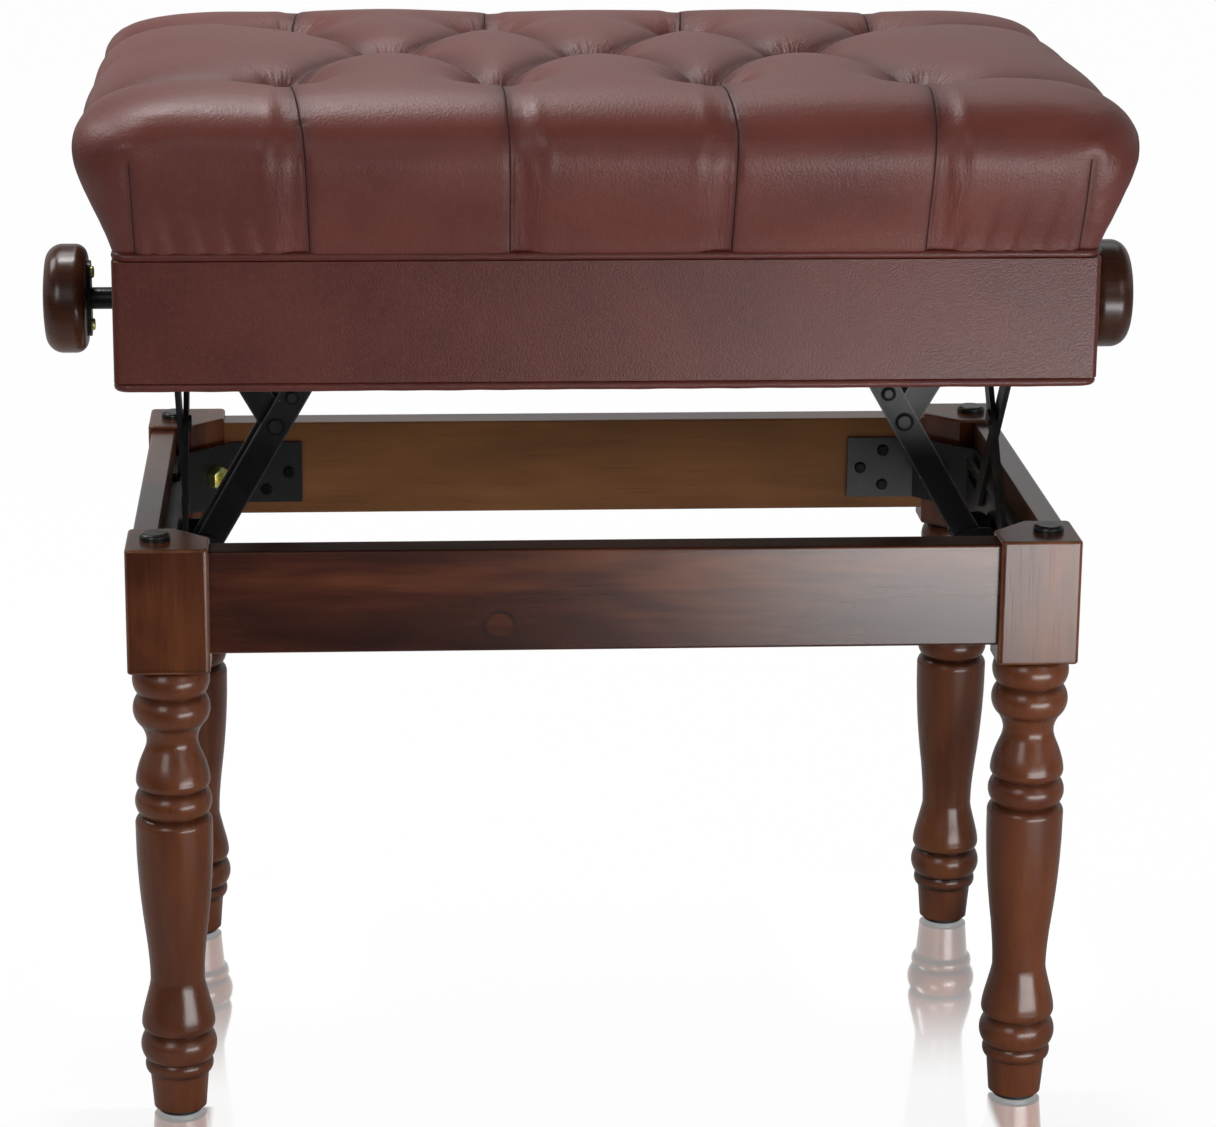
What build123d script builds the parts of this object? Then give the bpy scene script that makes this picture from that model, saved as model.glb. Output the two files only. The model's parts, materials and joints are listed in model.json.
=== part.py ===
from build123d import *
from math import asin, cos, degrees, radians, sin, sqrt
import os

# Adjustable piano bench, raised to its highest setting.
# Millimetres. X runs to the right, Y to the rear, Z up. The origin is on the floor under the middle.

# Wooden frame
leg_spacing_x = 480.0
leg_spacing_y = 280.0
leg_height = 337.0
leg_block = 45.5
leg_block_height = 71.0
apron_height = 58.0
apron_thick = 20.0
apron_drop = 3.0
apron_recess = 6.0
side_apron_thick = 14.75
side_apron_recess = 2.0
wood_round = 1.5
block_round = 3.0
cut_margin = 1.0

# Turned leg
bead_height = 17.0
bead_radius = 21.5
groove_radius = 18.3
neck_radius = 14.6
neck_depth = 41.0
flare_middle_radius = 17.8
flare_middle_depth = 55.0
flare_radius = 20.6
flare_depth = 66.0
flare_end_depth = 72.0
collar_height = 15.5
vase_radius = 21.6
vase_waist_radius = 15.3
vase_waist_height = 80.0
vase_shoulder = 6.0
ankle_middle_radius = 18.2
ankle_middle_height = 67.0
ankle_radius = 20.6
ankle_height = 55.5
ankle_end_height = 49.0
ring_radius = 19.3
ring_height = 7.0
foot_radius = 16.6
toe_radius = 14.9
shoulder_swell = 0.6
shoulder_lean = 2 / 3
neck_slope = 0.6
flare_ease = 0.5
taper_middle = 0.6

# Feet and bumpers
glide_radius = 12.5
glide_height = 3.0
glide_round = 0.6
bumper_radius = 8.5
bumper_height = 4.0
bumper_round = 2.2
bumper_offset = 7.0
rest_gap = 1.5

# Corner brackets and their bolts
bracket_height = 38.0
bracket_thick = 2.5
bracket_wing = 42.0
bracket_gap = 4.0
bracket_top_drop = 12.0
bolt_radius = 4.0
bolt_depth = 30.0
bolt_tail = 4.0
nut_width = 13.0
nut_height = 6.5
bracket_screw_inset = 8.0
bracket_screw_step = 14.0
bracket_screw_spread = 11.0

# Screws
screw_radius = 1.8
screw_length = 14.0
pan_radius = 3.5
pan_height = 1.8
pan_round = 1.1
flat_radius = 3.8
flat_height = 2.2

# Lifting linkage: a long arm from the base to the nut, a half-length link from its middle to the seat
arm_half = 84.0
arm_angle = 60.0
arm_width = 16.0
arm_thick = 3.0
arm_gap = 13.5
link_gap = 10.0
pivot_inset = 21.4
base_pivot_drop = 37.5
arm_rivet_offset = 19.6
arm_rivet_radius = 2.4
rivet_head = 3.4
rivet_head_height = 1.2
pivot_radius = 3.0
base_pivot_radius = 4.0
trunnion_radius = 5.0
lug_thick = 2.5
lug_radius = 9.0
layer_gap = 0.5
pin_play = 0.05
open_pivot_play = 0.3

# Side braces: crossed flat bars along the ends
brace_angle = 48.0
brace_drop = 24.0
brace_rise = 3.6
brace_front_y = -74.0
brace_width = 13.0
brace_thick = 3.0
brace_gap = 0.4
brace_pin_radius = 3.0
brace_head_radius = 5.0
brace_head_height = 1.6
slot_play = 0.3
slot_sag = 3.2

# End rails on the side aprons and end plates under the seat
rail_height = 37.0
rail_top_drop = 16.0
rail_depth = 7.0
plate_thick = 2.5
rail_half_length = 100.0
rail_flange_half_length = 56.0
rail_lower_screw_y = 48.0
rail_upper_screw_y = 28.0
rail_screw_inset = 8.0
rail_screw_grip = 11.0
seat_plate_half_length = 98.0
seat_plate_skirt = 10.5
seat_plate_flange = 28.0
seat_plate_screw_y = 70.0

# Lead screw, nuts and knobs
shaft_radius = 6.3
shaft_play = 0.08
nut_block_length = 26.0
nut_block_height = 24.0
bush_wall = 2.4
bush_flange = 2.0
bush_flange_radius = 11.0
collar_radius = 11.0
collar_length = 5.0
knob_radius = 31.25
knob_length = 25.4
knob_inner_round = 7.0
knob_outer_round = 10.0
knob_dome = 3.0
knob_gap = 23.5
knob_socket = 12.0
knob_flange_length = 44.0
knob_flange_width = 16.0
knob_flange_thick = 2.0
knob_screw_offset = 15.3
knob_screw_length = 10.0

# Seat box
box_overhang_x = 2.75
box_overhang_y = 3.25
box_height = 66.0
shaft_rise = 11.6
cover_thick = 1.5
cover_round = 4.0
board_thick = 18.0
side_board_thick = 14.5
piping_radius = 2.5
panel_thick = 12.0
cleat_size = 18.0
shaft_hole_radius = 8.0

# Cushion
cushion_height = 97.0
cushion_overhang = 22.5
cushion_inset = 6.5
cushion_corner = 34.0
tuft_pitch = 116.0
tuft_row = 98.0
tuft_depth = 27.0
tuft_tip = 1.9
tuft_throat = 14.4
tuft_mouth = 45.6
tuft_knee = 16.2
pleat_rise = 7.0
pleat_half_width = 9.0
pleat_bridge = 11.2
pleat_rim = 16.8
pleat_fade = 38.8
pleat_stops = [0.0, 0.45, 0.82, 1.02]
# Height share, width share from the drawn-in lip (0) to the widest level (1), corner share
cushion_levels = [
    (0.00, 0.0, 0.25),
    (0.055, 0.0, 0.25),
    (0.24, 0.44, 0.45),
    (0.47, 0.90, 0.75),
    (0.60, 1.0, 0.95),
    (0.73, 0.88, 1.0),
    (0.83, 0.586, 1.05),
    (0.90, 0.103, 1.1),
    (0.95, -0.793, 1.1),
    (1.00, -2.966, 1.0),
]

# Places worked out from the sizes above
leg_x = leg_spacing_x / 2
leg_y = leg_spacing_y / 2
leg_in_x = leg_x - leg_block / 2
leg_in_y = leg_y - leg_block / 2
block_bottom = leg_height - leg_block_height
apron_out_x = leg_x + leg_block / 2 - side_apron_recess
apron_out_y = leg_y + leg_block / 2 - apron_recess
apron_in_x = apron_out_x - side_apron_thick
apron_in_y = apron_out_y - apron_thick
apron_top = leg_height - apron_drop
apron_bottom = apron_top - apron_height
leg_chamfer = apron_in_y - leg_in_y

bracket_top = apron_top - bracket_top_drop
bracket_bottom = bracket_top - bracket_height
bolt_z = bracket_top - bracket_height / 2
chamfer_sum = leg_in_x + leg_chamfer + leg_in_y
bracket_sum = chamfer_sum - bracket_gap * sqrt(2)

pivot_x = apron_in_x - pivot_inset
base_pivot_z = apron_top - base_pivot_drop
reach = 2 * arm_half
arm_cos = cos(radians(arm_angle))
arm_sin = sin(radians(arm_angle))
mid_x = pivot_x - arm_half * arm_cos
mid_z = base_pivot_z + arm_half * arm_sin
tip_x = pivot_x - reach * arm_cos
shaft_z = base_pivot_z + reach * arm_sin
rivet_x = mid_x - arm_rivet_offset * arm_cos
rivet_z = mid_z + arm_rivet_offset * arm_sin
box_length = leg_spacing_x + leg_block + 2 * box_overhang_x
box_depth = leg_spacing_y + leg_block + 2 * box_overhang_y
box_bottom = shaft_z - shaft_rise

rail_top = apron_top - rail_top_drop
rail_bottom = rail_top - rail_height
rail_in_x = apron_in_x - rail_depth
rail_out_x = rail_in_x + plate_thick
brace_b_in_x = rail_in_x - brace_gap - brace_thick
brace_a_in_x = brace_b_in_x - brace_gap - brace_thick
brace_lower_z = apron_top - brace_drop
brace_upper_z = box_bottom + brace_rise
brace_span_z = brace_upper_z - brace_lower_z
brace_length = brace_span_z / sin(radians(brace_angle))
brace_span_y = brace_length * cos(radians(brace_angle))
brace_rear_y = brace_front_y + brace_span_y

arm_out = arm_gap + arm_thick
link_out = link_gap + arm_thick
base_lug_in = arm_out + layer_gap
base_lug_out = base_lug_in + lug_thick
seat_lug_in = link_out + layer_gap
seat_lug_out = seat_lug_in + lug_thick

board_bottom = box_bottom
board_top = box_bottom + box_height
board_out_x = box_length / 2 - cover_thick
board_out_y = box_depth / 2 - cover_thick
board_in_x = board_out_x - side_board_thick
board_in_y = board_out_y - board_thick
panel_bottom = board_top - panel_thick
seat_drop = board_bottom - leg_height - bumper_height - rest_gap
low_angle = degrees(asin((reach * arm_sin - seat_drop) / reach))
brace_low_angle = degrees(asin((brace_span_z - seat_drop) / brace_length))
brace_low_rear_y = brace_front_y + brace_length * cos(radians(brace_low_angle))
seat_web_out_x = rail_out_x
seat_web_in_x = seat_web_out_x - plate_thick
seat_plate_bottom = brace_upper_z - seat_plate_skirt
knob_in_x = box_length / 2 + knob_gap
shaft_end = knob_in_x + knob_socket

parts = {}


def block(x0, x1, y0, y1, z0, z1):
    return Pos((x0 + x1) / 2, (y0 + y1) / 2, (z0 + z1) / 2) * Box(abs(x1 - x0), abs(y1 - y0), abs(z1 - z0))


def rod_x(x0, x1, y, z, radius):
    return Pos((x0 + x1) / 2, y, z) * Rot(0, 90, 0) * Cylinder(radius, abs(x1 - x0))


def rod_y(y0, y1, x, z, radius):
    return Pos(x, (y0 + y1) / 2, z) * Rot(90, 0, 0) * Cylinder(radius, abs(y1 - y0))


def rod_z(z0, z1, x, y, radius):
    return Pos(x, y, (z0 + z1) / 2) * Cylinder(radius, abs(z1 - z0))


# A flat bar with rounded ends in a plane of constant y, from point p to point q (x, z)
def bar_xz(p, q, width, y0, y1):
    run = Vector(q[0] - p[0], 0, q[1] - p[1])
    middle = ((p[0] + q[0]) / 2, y0, (p[1] + q[1]) / 2)
    plane = Plane(origin=middle, x_dir=run, z_dir=(0, 1, 0))
    return plane * extrude(SlotCenterToCenter(run.length, width), y1 - y0)


# The same in a plane of constant x, from p to q (y, z)
def bar_yz(p, q, width, x0, x1):
    run = Vector(0, q[0] - p[0], q[1] - p[1])
    middle = (x0, (p[0] + q[0]) / 2, (p[1] + q[1]) / 2)
    plane = Plane(origin=middle, x_dir=run, z_dir=(1, 0, 0))
    return plane * extrude(SlotCenterToCenter(run.length, width), x1 - x0)


def flip_x(shape):
    return mirror(shape, about=Plane.YZ)


def flip_y(shape):
    return mirror(shape, about=Plane.XZ)


def four_corners(shape):
    return [shape, flip_x(shape), flip_y(shape), flip_y(flip_x(shape))]


def both_ends(shape):
    return [shape, flip_x(shape)]


def group(shapes):
    return Compound(children=[solid for shape in shapes for solid in shape.solids()])


# A pan-head screw whose head seats at the plane's origin and whose shank runs along its normal
def pan_screw(plane, length):
    head = Pos(0, 0, -pan_height / 2) * Cylinder(pan_radius, pan_height)
    head = fillet(head.edges().group_by(Axis.Z)[0], pan_round)
    return plane * (head + Pos(0, 0, length / 2) * Cylinder(screw_radius, length))


# A flat-head screw, its head flush with the plane
def flat_screw(plane, length):
    head = Pos(0, 0, flat_height / 2) * Cone(flat_radius, screw_radius, flat_height)
    return plane * (head + Pos(0, 0, length / 2) * Cylinder(screw_radius, length))


def flat_bore(plane, length):
    rise = pin_play * 2
    head = Pos(0, 0, flat_height / 2) * Cone(flat_radius + rise, screw_radius + rise, flat_height)
    return plane * (head + Pos(0, 0, length / 2 + rise) * Cylinder(screw_radius + pin_play, length + rise))


def screw_bore(plane, length):
    return plane * Pos(0, 0, length / 2) * Cylinder(screw_radius + pin_play, length + pin_play * 2)


# Turned leg under a square block, for the rear right corner
def leg_profile():
    def at(radius, height):
        return Vector(radius, 0, height)

    top = block_bottom
    second = top - bead_height
    third = second - bead_height
    collar = top - flare_end_depth
    collar_end = collar - collar_height
    shoulder = collar_end - vase_shoulder
    taper = shoulder - vase_waist_height
    bead_end = ankle_end_height - bead_height
    ring_end = bead_end - ring_height
    toe = glide_height
    down = (0, 0, -1)

    def bead(start, end, radius):
        return ThreePointArc(at(groove_radius, start), at(radius, (start + end) / 2), at(groove_radius, end))

    # A rounded shoulder, fullest near its narrow end
    def shoulder_arc(r0, z0, r1, z1):
        lean = shoulder_lean if r0 > r1 else 1 - shoulder_lean
        middle = at((r0 + r1) / 2 + shoulder_swell, z0 + (z1 - z0) * lean)
        return ThreePointArc(at(r0, z0), middle, at(r1, z1))

    edges = [
        Line(at(0, top), at(groove_radius, top)),
        bead(top, second, bead_radius),
        bead(second, third, bead_radius),
        Spline(
            at(groove_radius, third),
            at(neck_radius, top - neck_depth),
            at(flare_middle_radius, top - flare_middle_depth),
            at(flare_radius, top - flare_depth),
            tangents=[(-1, 0, -neck_slope), down],
            tangent_scalars=[flare_ease, flare_ease],
        ),
        shoulder_arc(flare_radius, top - flare_depth, groove_radius, collar),
        bead(collar, collar_end, bead_radius),
        shoulder_arc(groove_radius, collar_end, vase_radius, shoulder),
        Spline(
            at(vase_radius, shoulder),
            at((vase_radius + vase_waist_radius) / 2, shoulder - taper * taper_middle),
            at(vase_waist_radius, vase_waist_height),
            tangents=[down, down],
        ),
        Spline(
            at(vase_waist_radius, vase_waist_height),
            at(ankle_middle_radius, ankle_middle_height),
            at(ankle_radius, ankle_height),
            tangents=[down, down],
            tangent_scalars=[flare_ease, flare_ease],
        ),
        shoulder_arc(ankle_radius, ankle_height, groove_radius, ankle_end_height),
        bead(ankle_end_height, bead_end, bead_radius),
        bead(bead_end, ring_end, ring_radius),
        Line(at(groove_radius, ring_end), at(foot_radius, ring_end - wood_round)),
        Line(at(foot_radius, ring_end - wood_round), at(toe_radius, toe)),
        Line(at(toe_radius, toe), at(0, toe)),
        Line(at(0, toe), at(0, top)),
    ]
    return make_face(edges)


def leg():
    square = block(-leg_block / 2, leg_block / 2, -leg_block / 2, leg_block / 2, block_bottom, leg_height)
    upright = square.edges().filter_by(Axis.Z)
    inner = upright.sort_by(Axis((0, 0, 0), (1, 1, 0)))[0]
    square = chamfer(inner, leg_chamfer)
    upright = square.edges().filter_by(Axis.Z).sort_by(Axis((0, 0, 0), (1, 1, 0)))
    square = fillet(upright[2:], block_round)
    square = fillet(square.edges().group_by(Axis.Z)[-1], wood_round)
    square = fillet(square.edges().group_by(Axis.Z)[0], wood_round)
    turned = revolve(leg_profile(), Axis.Z)
    return Pos(leg_x, leg_y, 0) * (square + turned)


# Frame of the rear right corner's bolt: origin on the leg's chamfer, normal into the leg
chamfer_mid = Vector(leg_in_x + leg_chamfer / 2, leg_in_y + leg_chamfer / 2, bolt_z)
bolt_plane = Plane(origin=chamfer_mid, x_dir=(0, 0, 1), z_dir=(1, 1, 0))
plate_in = -bracket_gap - bracket_thick


def bolt_rod(radius, start, end):
    return bolt_plane * Pos(0, 0, (start + end) / 2) * Cylinder(radius, end - start)


def corner_bracket():
    t = bracket_thick
    inner_sum = bracket_sum - t * sqrt(2)
    outline = Polyline(
        (apron_in_x, bracket_sum - apron_in_x - bracket_wing),
        (apron_in_x, bracket_sum - apron_in_x),
        (bracket_sum - apron_in_y, apron_in_y),
        (bracket_sum - apron_in_y - bracket_wing, apron_in_y),
        (bracket_sum - apron_in_y - bracket_wing, apron_in_y - t),
        (inner_sum - apron_in_y + t, apron_in_y - t),
        (apron_in_x - t, inner_sum - apron_in_x + t),
        (apron_in_x - t, bracket_sum - apron_in_x - bracket_wing),
        close=True,
    )
    plate = Pos(0, 0, bracket_bottom) * extrude(make_face(outline), bracket_height)
    return plate - bolt_rod(bolt_radius + layer_gap, plate_in - cut_margin, -bracket_gap + cut_margin)


# Seats of the three screws in each wing of the rear right bracket
def bracket_screw_planes():
    planes = []
    wing_x = bracket_sum - apron_in_y - bracket_wing
    wing_y = bracket_sum - apron_in_x - bracket_wing
    far = bracket_screw_inset + bracket_screw_step
    places = [
        (bracket_screw_inset, 0.0),
        (far, bracket_screw_spread),
        (far, -bracket_screw_spread),
    ]
    for along, rise in places:
        rear = (wing_x + along, apron_in_y - bracket_thick, bolt_z + rise)
        side = (apron_in_x - bracket_thick, wing_y + along, bolt_z + rise)
        planes.append(Plane(origin=rear, x_dir=(0, 0, 1), z_dir=(0, 1, 0)))
        planes.append(Plane(origin=side, x_dir=(0, 0, 1), z_dir=(1, 0, 0)))
    return planes


def make_frame():
    corner = leg() - bolt_rod(bolt_radius + pin_play, -cut_margin, bolt_depth + pin_play)
    corner_names = ["rear_right", "rear_left", "front_right", "front_left"]
    for name, shape in zip(corner_names, four_corners(corner)):
        parts["leg_" + name] = shape

    bracket = corner_bracket()
    bracket_screws = []
    bracket_bores = []
    for plane in bracket_screw_planes():
        bracket_screws += four_corners(pan_screw(plane, screw_length))
        bracket_bores += four_corners(screw_bore(plane, screw_length))
        bracket = bracket - screw_bore(plane, screw_length)
    for name, shape in zip(corner_names, four_corners(bracket)):
        parts["corner_bracket_" + name] = shape
    parts["bracket_screws"] = group(bracket_screws)

    bolt = bolt_rod(bolt_radius, plate_in - nut_height - bolt_tail, bolt_depth)
    parts["hanger_bolts"] = group(four_corners(bolt))
    hexagon = extrude(RegularPolygon(nut_width / 2, 6, major_radius=False), nut_height)
    hexagon = hexagon - Pos(0, 0, nut_height / 2) * Cylinder(bolt_radius + pin_play, nut_height * 2)
    parts["bolt_nuts"] = group(four_corners(bolt_plane * Pos(0, 0, plate_in - nut_height) * hexagon))

    bumper = rod_z(leg_height, leg_height + bumper_height, leg_x + bumper_offset, leg_y, bumper_radius)
    bumper = fillet(bumper.edges().group_by(Axis.Z)[-1], bumper_round)
    parts["leg_bumpers"] = group(four_corners(bumper))
    glide = rod_z(0, glide_height, leg_x, leg_y, glide_radius)
    glide = chamfer(glide.edges().group_by(Axis.Z)[0], glide_round)
    parts["foot_glides"] = group(four_corners(glide))

    rail_planes = []
    for end in (-1, 1):
        low = (rail_in_x, end * rail_lower_screw_y, rail_bottom + rail_screw_inset)
        high = (rail_in_x, end * rail_upper_screw_y, rail_top - rail_screw_inset)
        for place in (low, high):
            rail_planes.append(Plane(origin=place, x_dir=(0, 0, 1), z_dir=(1, 0, 0)))
    rail_screw_length = rail_depth + rail_screw_grip
    rail_screws = []
    rail_bores = []
    for plane in rail_planes:
        rail_screws += both_ends(flat_screw(plane, rail_screw_length))
        rail_bores += both_ends(flat_bore(plane, rail_screw_length))
    parts["rail_screws"] = group(rail_screws)

    side = block(apron_in_x, apron_out_x, -leg_in_y, leg_in_y, apron_bottom, apron_top)
    side = fillet(side.edges().filter_by(Axis.Y), wood_round)
    front = block(-leg_in_x, leg_in_x, -apron_out_y, -apron_in_y, apron_bottom, apron_top)
    front = fillet(front.edges().filter_by(Axis.X), wood_round)
    holes = group(bracket_bores + rail_bores)
    parts["right_apron"] = side - holes
    parts["left_apron"] = flip_x(side) - holes
    parts["front_apron"] = front - holes
    parts["rear_apron"] = flip_y(front) - holes
    return rail_planes, rail_screw_length


# Pressed channel on a side apron, with two lugs for the lifting arms turned in from its web
def make_rails(rail_planes, rail_screw_length):
    half = rail_half_length
    rail = block(rail_in_x, rail_out_x, -half, half, rail_bottom, rail_top)
    flange_half = rail_flange_half_length
    rail += block(rail_in_x, apron_in_x, -flange_half, flange_half, rail_bottom, rail_bottom + plate_thick)
    rail += block(rail_in_x, apron_in_x, -flange_half, flange_half, rail_top - plate_thick, rail_top)
    for side in (-1, 1):
        y0 = min(side * base_lug_in, side * base_lug_out)
        root = (rail_out_x - lug_radius, base_pivot_z)
        rail += bar_xz((pivot_x, base_pivot_z), root, 2 * lug_radius, y0, y0 + lug_thick)
    window = lug_radius + layer_gap
    cut_in = rail_in_x - cut_margin
    cut_out = rail_out_x + cut_margin
    rail -= block(cut_in, cut_out, -base_lug_in, base_lug_in, base_pivot_z - window, base_pivot_z + window)
    lug_cut = base_lug_out + cut_margin
    rail -= rod_y(-lug_cut, lug_cut, pivot_x, base_pivot_z, base_pivot_radius + pin_play)
    slot_width = 2 * (brace_pin_radius + slot_play)
    low = (brace_rear_y, brace_lower_z)
    far = (brace_low_rear_y, brace_lower_z)
    rail -= bar_yz(low, far, slot_width, cut_in, cut_out)
    rail -= rod_x(cut_in, cut_out, brace_front_y, brace_lower_z, brace_pin_radius + pin_play)
    for plane in rail_planes:
        rail -= flat_bore(plane, rail_screw_length)
    parts["right_rail"] = rail
    parts["left_rail"] = flip_x(rail)

    pin_end = base_lug_out + rivet_head_height
    pin = rod_y(-pin_end, pin_end, pivot_x, base_pivot_z, base_pivot_radius)
    parts["base_pivot_pins"] = group(both_ends(pin))

    head_end = brace_a_in_x - brace_gap
    stud = rod_x(head_end, rail_out_x, brace_front_y, brace_lower_z, brace_pin_radius)
    stud += rod_x(head_end - brace_head_height, head_end, brace_front_y, brace_lower_z, brace_head_radius)
    stud += rod_x(brace_b_in_x, rail_in_x, brace_front_y, brace_lower_z, brace_head_radius)
    parts["brace_base_studs"] = group(both_ends(stud))


# Long arms and their half-length links, in pairs each side of the lead screw
def make_linkage():
    foot = (pivot_x, base_pivot_z)
    middle = (mid_x, mid_z)
    tip = (tip_x, shaft_z)
    seat = (pivot_x, shaft_z)
    arm = bar_xz(foot, tip, arm_width, arm_gap, arm_out)
    for place, radius in (
        (foot, base_pivot_radius),
        (middle, pivot_radius),
        ((rivet_x, rivet_z), arm_rivet_radius),
        (tip, trunnion_radius),
    ):
        arm -= rod_y(arm_gap - cut_margin, arm_out + cut_margin, *place, radius + pin_play)
    link = bar_xz(middle, seat, arm_width, link_gap, link_out)
    cut_in = link_gap - cut_margin
    cut_out = link_out + cut_margin
    link -= rod_y(cut_in, cut_out, *middle, pivot_radius + pin_play)
    tight = link - rod_y(cut_in, cut_out, *seat, pivot_radius + pin_play)
    loose = link - rod_y(cut_in, cut_out, *seat, pivot_radius + open_pivot_play)

    pin_end = arm_out + pin_play
    head_end = pin_end + rivet_head_height
    pins = []
    for x, z, radius, head in (
        (mid_x, mid_z, pivot_radius, pivot_radius + rivet_head_height),
        (rivet_x, rivet_z, arm_rivet_radius, rivet_head),
    ):
        pin = rod_y(-pin_end, pin_end, x, z, radius)
        pin += rod_y(pin_end, head_end, x, z, head)
        pin += rod_y(-head_end, -pin_end, x, z, head)
        pins.append(pin)
    pins[1] += rod_y(-arm_gap, arm_gap, rivet_x, rivet_z, rivet_head)

    parts["right_arm_rear"] = arm
    parts["right_arm_front"] = flip_y(arm)
    parts["left_arm_rear"] = flip_x(arm)
    parts["left_arm_front"] = flip_y(flip_x(arm))
    parts["right_arm_pins"] = group(pins)
    parts["left_arm_pins"] = group([flip_x(pin) for pin in pins])
    parts["right_link_rear"] = loose
    parts["right_link_front"] = flip_y(loose)
    parts["left_link_rear"] = flip_x(tight)
    parts["left_link_front"] = flip_y(flip_x(tight))

    half = nut_block_length / 2
    body_end = arm_gap - layer_gap
    nut = Pos(tip_x, 0, shaft_z) * Box(nut_block_length, 2 * body_end, nut_block_height)
    nut = fillet(nut.edges().filter_by(Axis.X), wood_round)
    nut += rod_y(-arm_out - layer_gap, arm_out + layer_gap, tip_x, shaft_z, trunnion_radius)
    nut -= rod_x(tip_x - half - cut_margin, tip_x + half + cut_margin, 0, shaft_z, shaft_radius + shaft_play)
    parts["right_trunnion_nut"] = nut
    parts["left_trunnion_nut"] = flip_x(nut)


# Crossed bars along each end; bar a hangs from the fixed stud, bar b slides in the rail
def make_braces():
    low_front = (brace_front_y, brace_lower_z)
    low_rear = (brace_rear_y, brace_lower_z)
    high_front = (brace_front_y, brace_upper_z)
    high_rear = (brace_rear_y, brace_upper_z)
    cross_y = (brace_front_y + brace_rear_y) / 2
    cross_z = (brace_lower_z + brace_upper_z) / 2
    a_in = brace_a_in_x
    a_out = a_in + brace_thick
    b_in = brace_b_in_x
    b_out = b_in + brace_thick
    stud_end = seat_web_out_x + layer_gap

    bar_a = bar_yz(low_front, high_rear, brace_width, a_in, a_out)
    bar_a -= rod_x(a_in - cut_margin, a_out + cut_margin, *low_front, brace_pin_radius + pin_play)
    bar_a += rod_x(a_in - brace_head_height, a_in, cross_y, cross_z, brace_head_radius)
    bar_a += rod_x(a_in, b_out, cross_y, cross_z, brace_pin_radius)
    bar_a += rod_x(a_in, stud_end, *high_rear, brace_pin_radius)
    bar_b = bar_yz(low_rear, high_front, brace_width, b_in, b_out)
    bar_b -= rod_x(b_in - cut_margin, b_out + cut_margin, cross_y, cross_z, brace_pin_radius + pin_play)
    bar_b += rod_x(b_in, rail_out_x, *low_rear, brace_pin_radius)
    bar_b += rod_x(b_in, stud_end, *high_front, brace_pin_radius)
    parts["right_brace_a"] = bar_a
    parts["right_brace_b"] = bar_b
    parts["left_brace_a"] = flip_x(bar_a)
    parts["left_brace_b"] = flip_x(bar_b)


# Steel plates under the seat's ends: lugs for the links, slots for the braces, bearings for the shaft
def make_seat_plates():
    half = seat_plate_half_length
    plate = block(seat_web_in_x, seat_web_out_x, -half, half, seat_plate_bottom, panel_bottom)
    flange_in = seat_web_out_x - seat_plate_flange
    plate += block(flange_in, seat_web_out_x, -half, half, panel_bottom - plate_thick, panel_bottom)
    for side in (-1, 1):
        y0 = min(side * seat_lug_in, side * seat_lug_out)
        root = (seat_web_out_x - lug_radius, shaft_z)
        plate += bar_xz((pivot_x, shaft_z), root, 2 * lug_radius, y0, y0 + lug_thick)
        y1 = y0 + lug_thick + cut_margin
        plate -= rod_y(y0 - cut_margin, y1, pivot_x, shaft_z, pivot_radius + pin_play)
    bush_radius = shaft_radius + bush_wall
    cut_in = seat_web_in_x - cut_margin
    cut_out = seat_web_out_x + cut_margin
    plate -= rod_x(cut_in, cut_out, 0, shaft_z, bush_radius + pin_play)
    top = brace_upper_z + brace_pin_radius + slot_play
    bottom = brace_upper_z - brace_pin_radius - slot_sag
    reach_y = brace_pin_radius + slot_play
    for start, end in ((brace_front_y, brace_front_y), (brace_rear_y, brace_low_rear_y)):
        plate -= block(cut_in, cut_out, start - reach_y, end + reach_y, bottom, top)
    screw_x = flange_in + bracket_screw_inset
    screws = []
    bores = []
    for y in (-seat_plate_screw_y, seat_plate_screw_y):
        plane = Plane(origin=(screw_x, y, panel_bottom - plate_thick), x_dir=(1, 0, 0), z_dir=(0, 0, 1))
        plate -= screw_bore(plane, panel_thick)
        screws += both_ends(pan_screw(plane, panel_thick))
        bores += both_ends(screw_bore(plane, panel_thick))
    parts["right_seat_plate"] = plate
    parts["left_seat_plate"] = flip_x(plate)
    parts["seat_plate_screws"] = group(screws)

    bush = rod_x(seat_web_in_x, seat_web_out_x, 0, shaft_z, bush_radius)
    bush += rod_x(seat_web_out_x, seat_web_out_x + bush_flange, 0, shaft_z, bush_flange_radius)
    bush_end = seat_web_out_x + bush_flange + cut_margin
    bush -= rod_x(seat_web_in_x - cut_margin, bush_end, 0, shaft_z, shaft_radius + shaft_play)
    parts["shaft_bushes"] = group(both_ends(bush))

    head_in = link_gap - pin_play
    head_out = seat_lug_out + pin_play
    head_radius = pivot_radius + rivet_head_height
    pin = rod_y(head_in, head_out, pivot_x, shaft_z, pivot_radius)
    pin += rod_y(head_in - rivet_head_height, head_in, pivot_x, shaft_z, head_radius)
    pin += rod_y(head_out, head_out + rivet_head_height, pivot_x, shaft_z, head_radius)
    parts["seat_pivot_pins"] = group(four_corners(pin))
    return bores


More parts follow.
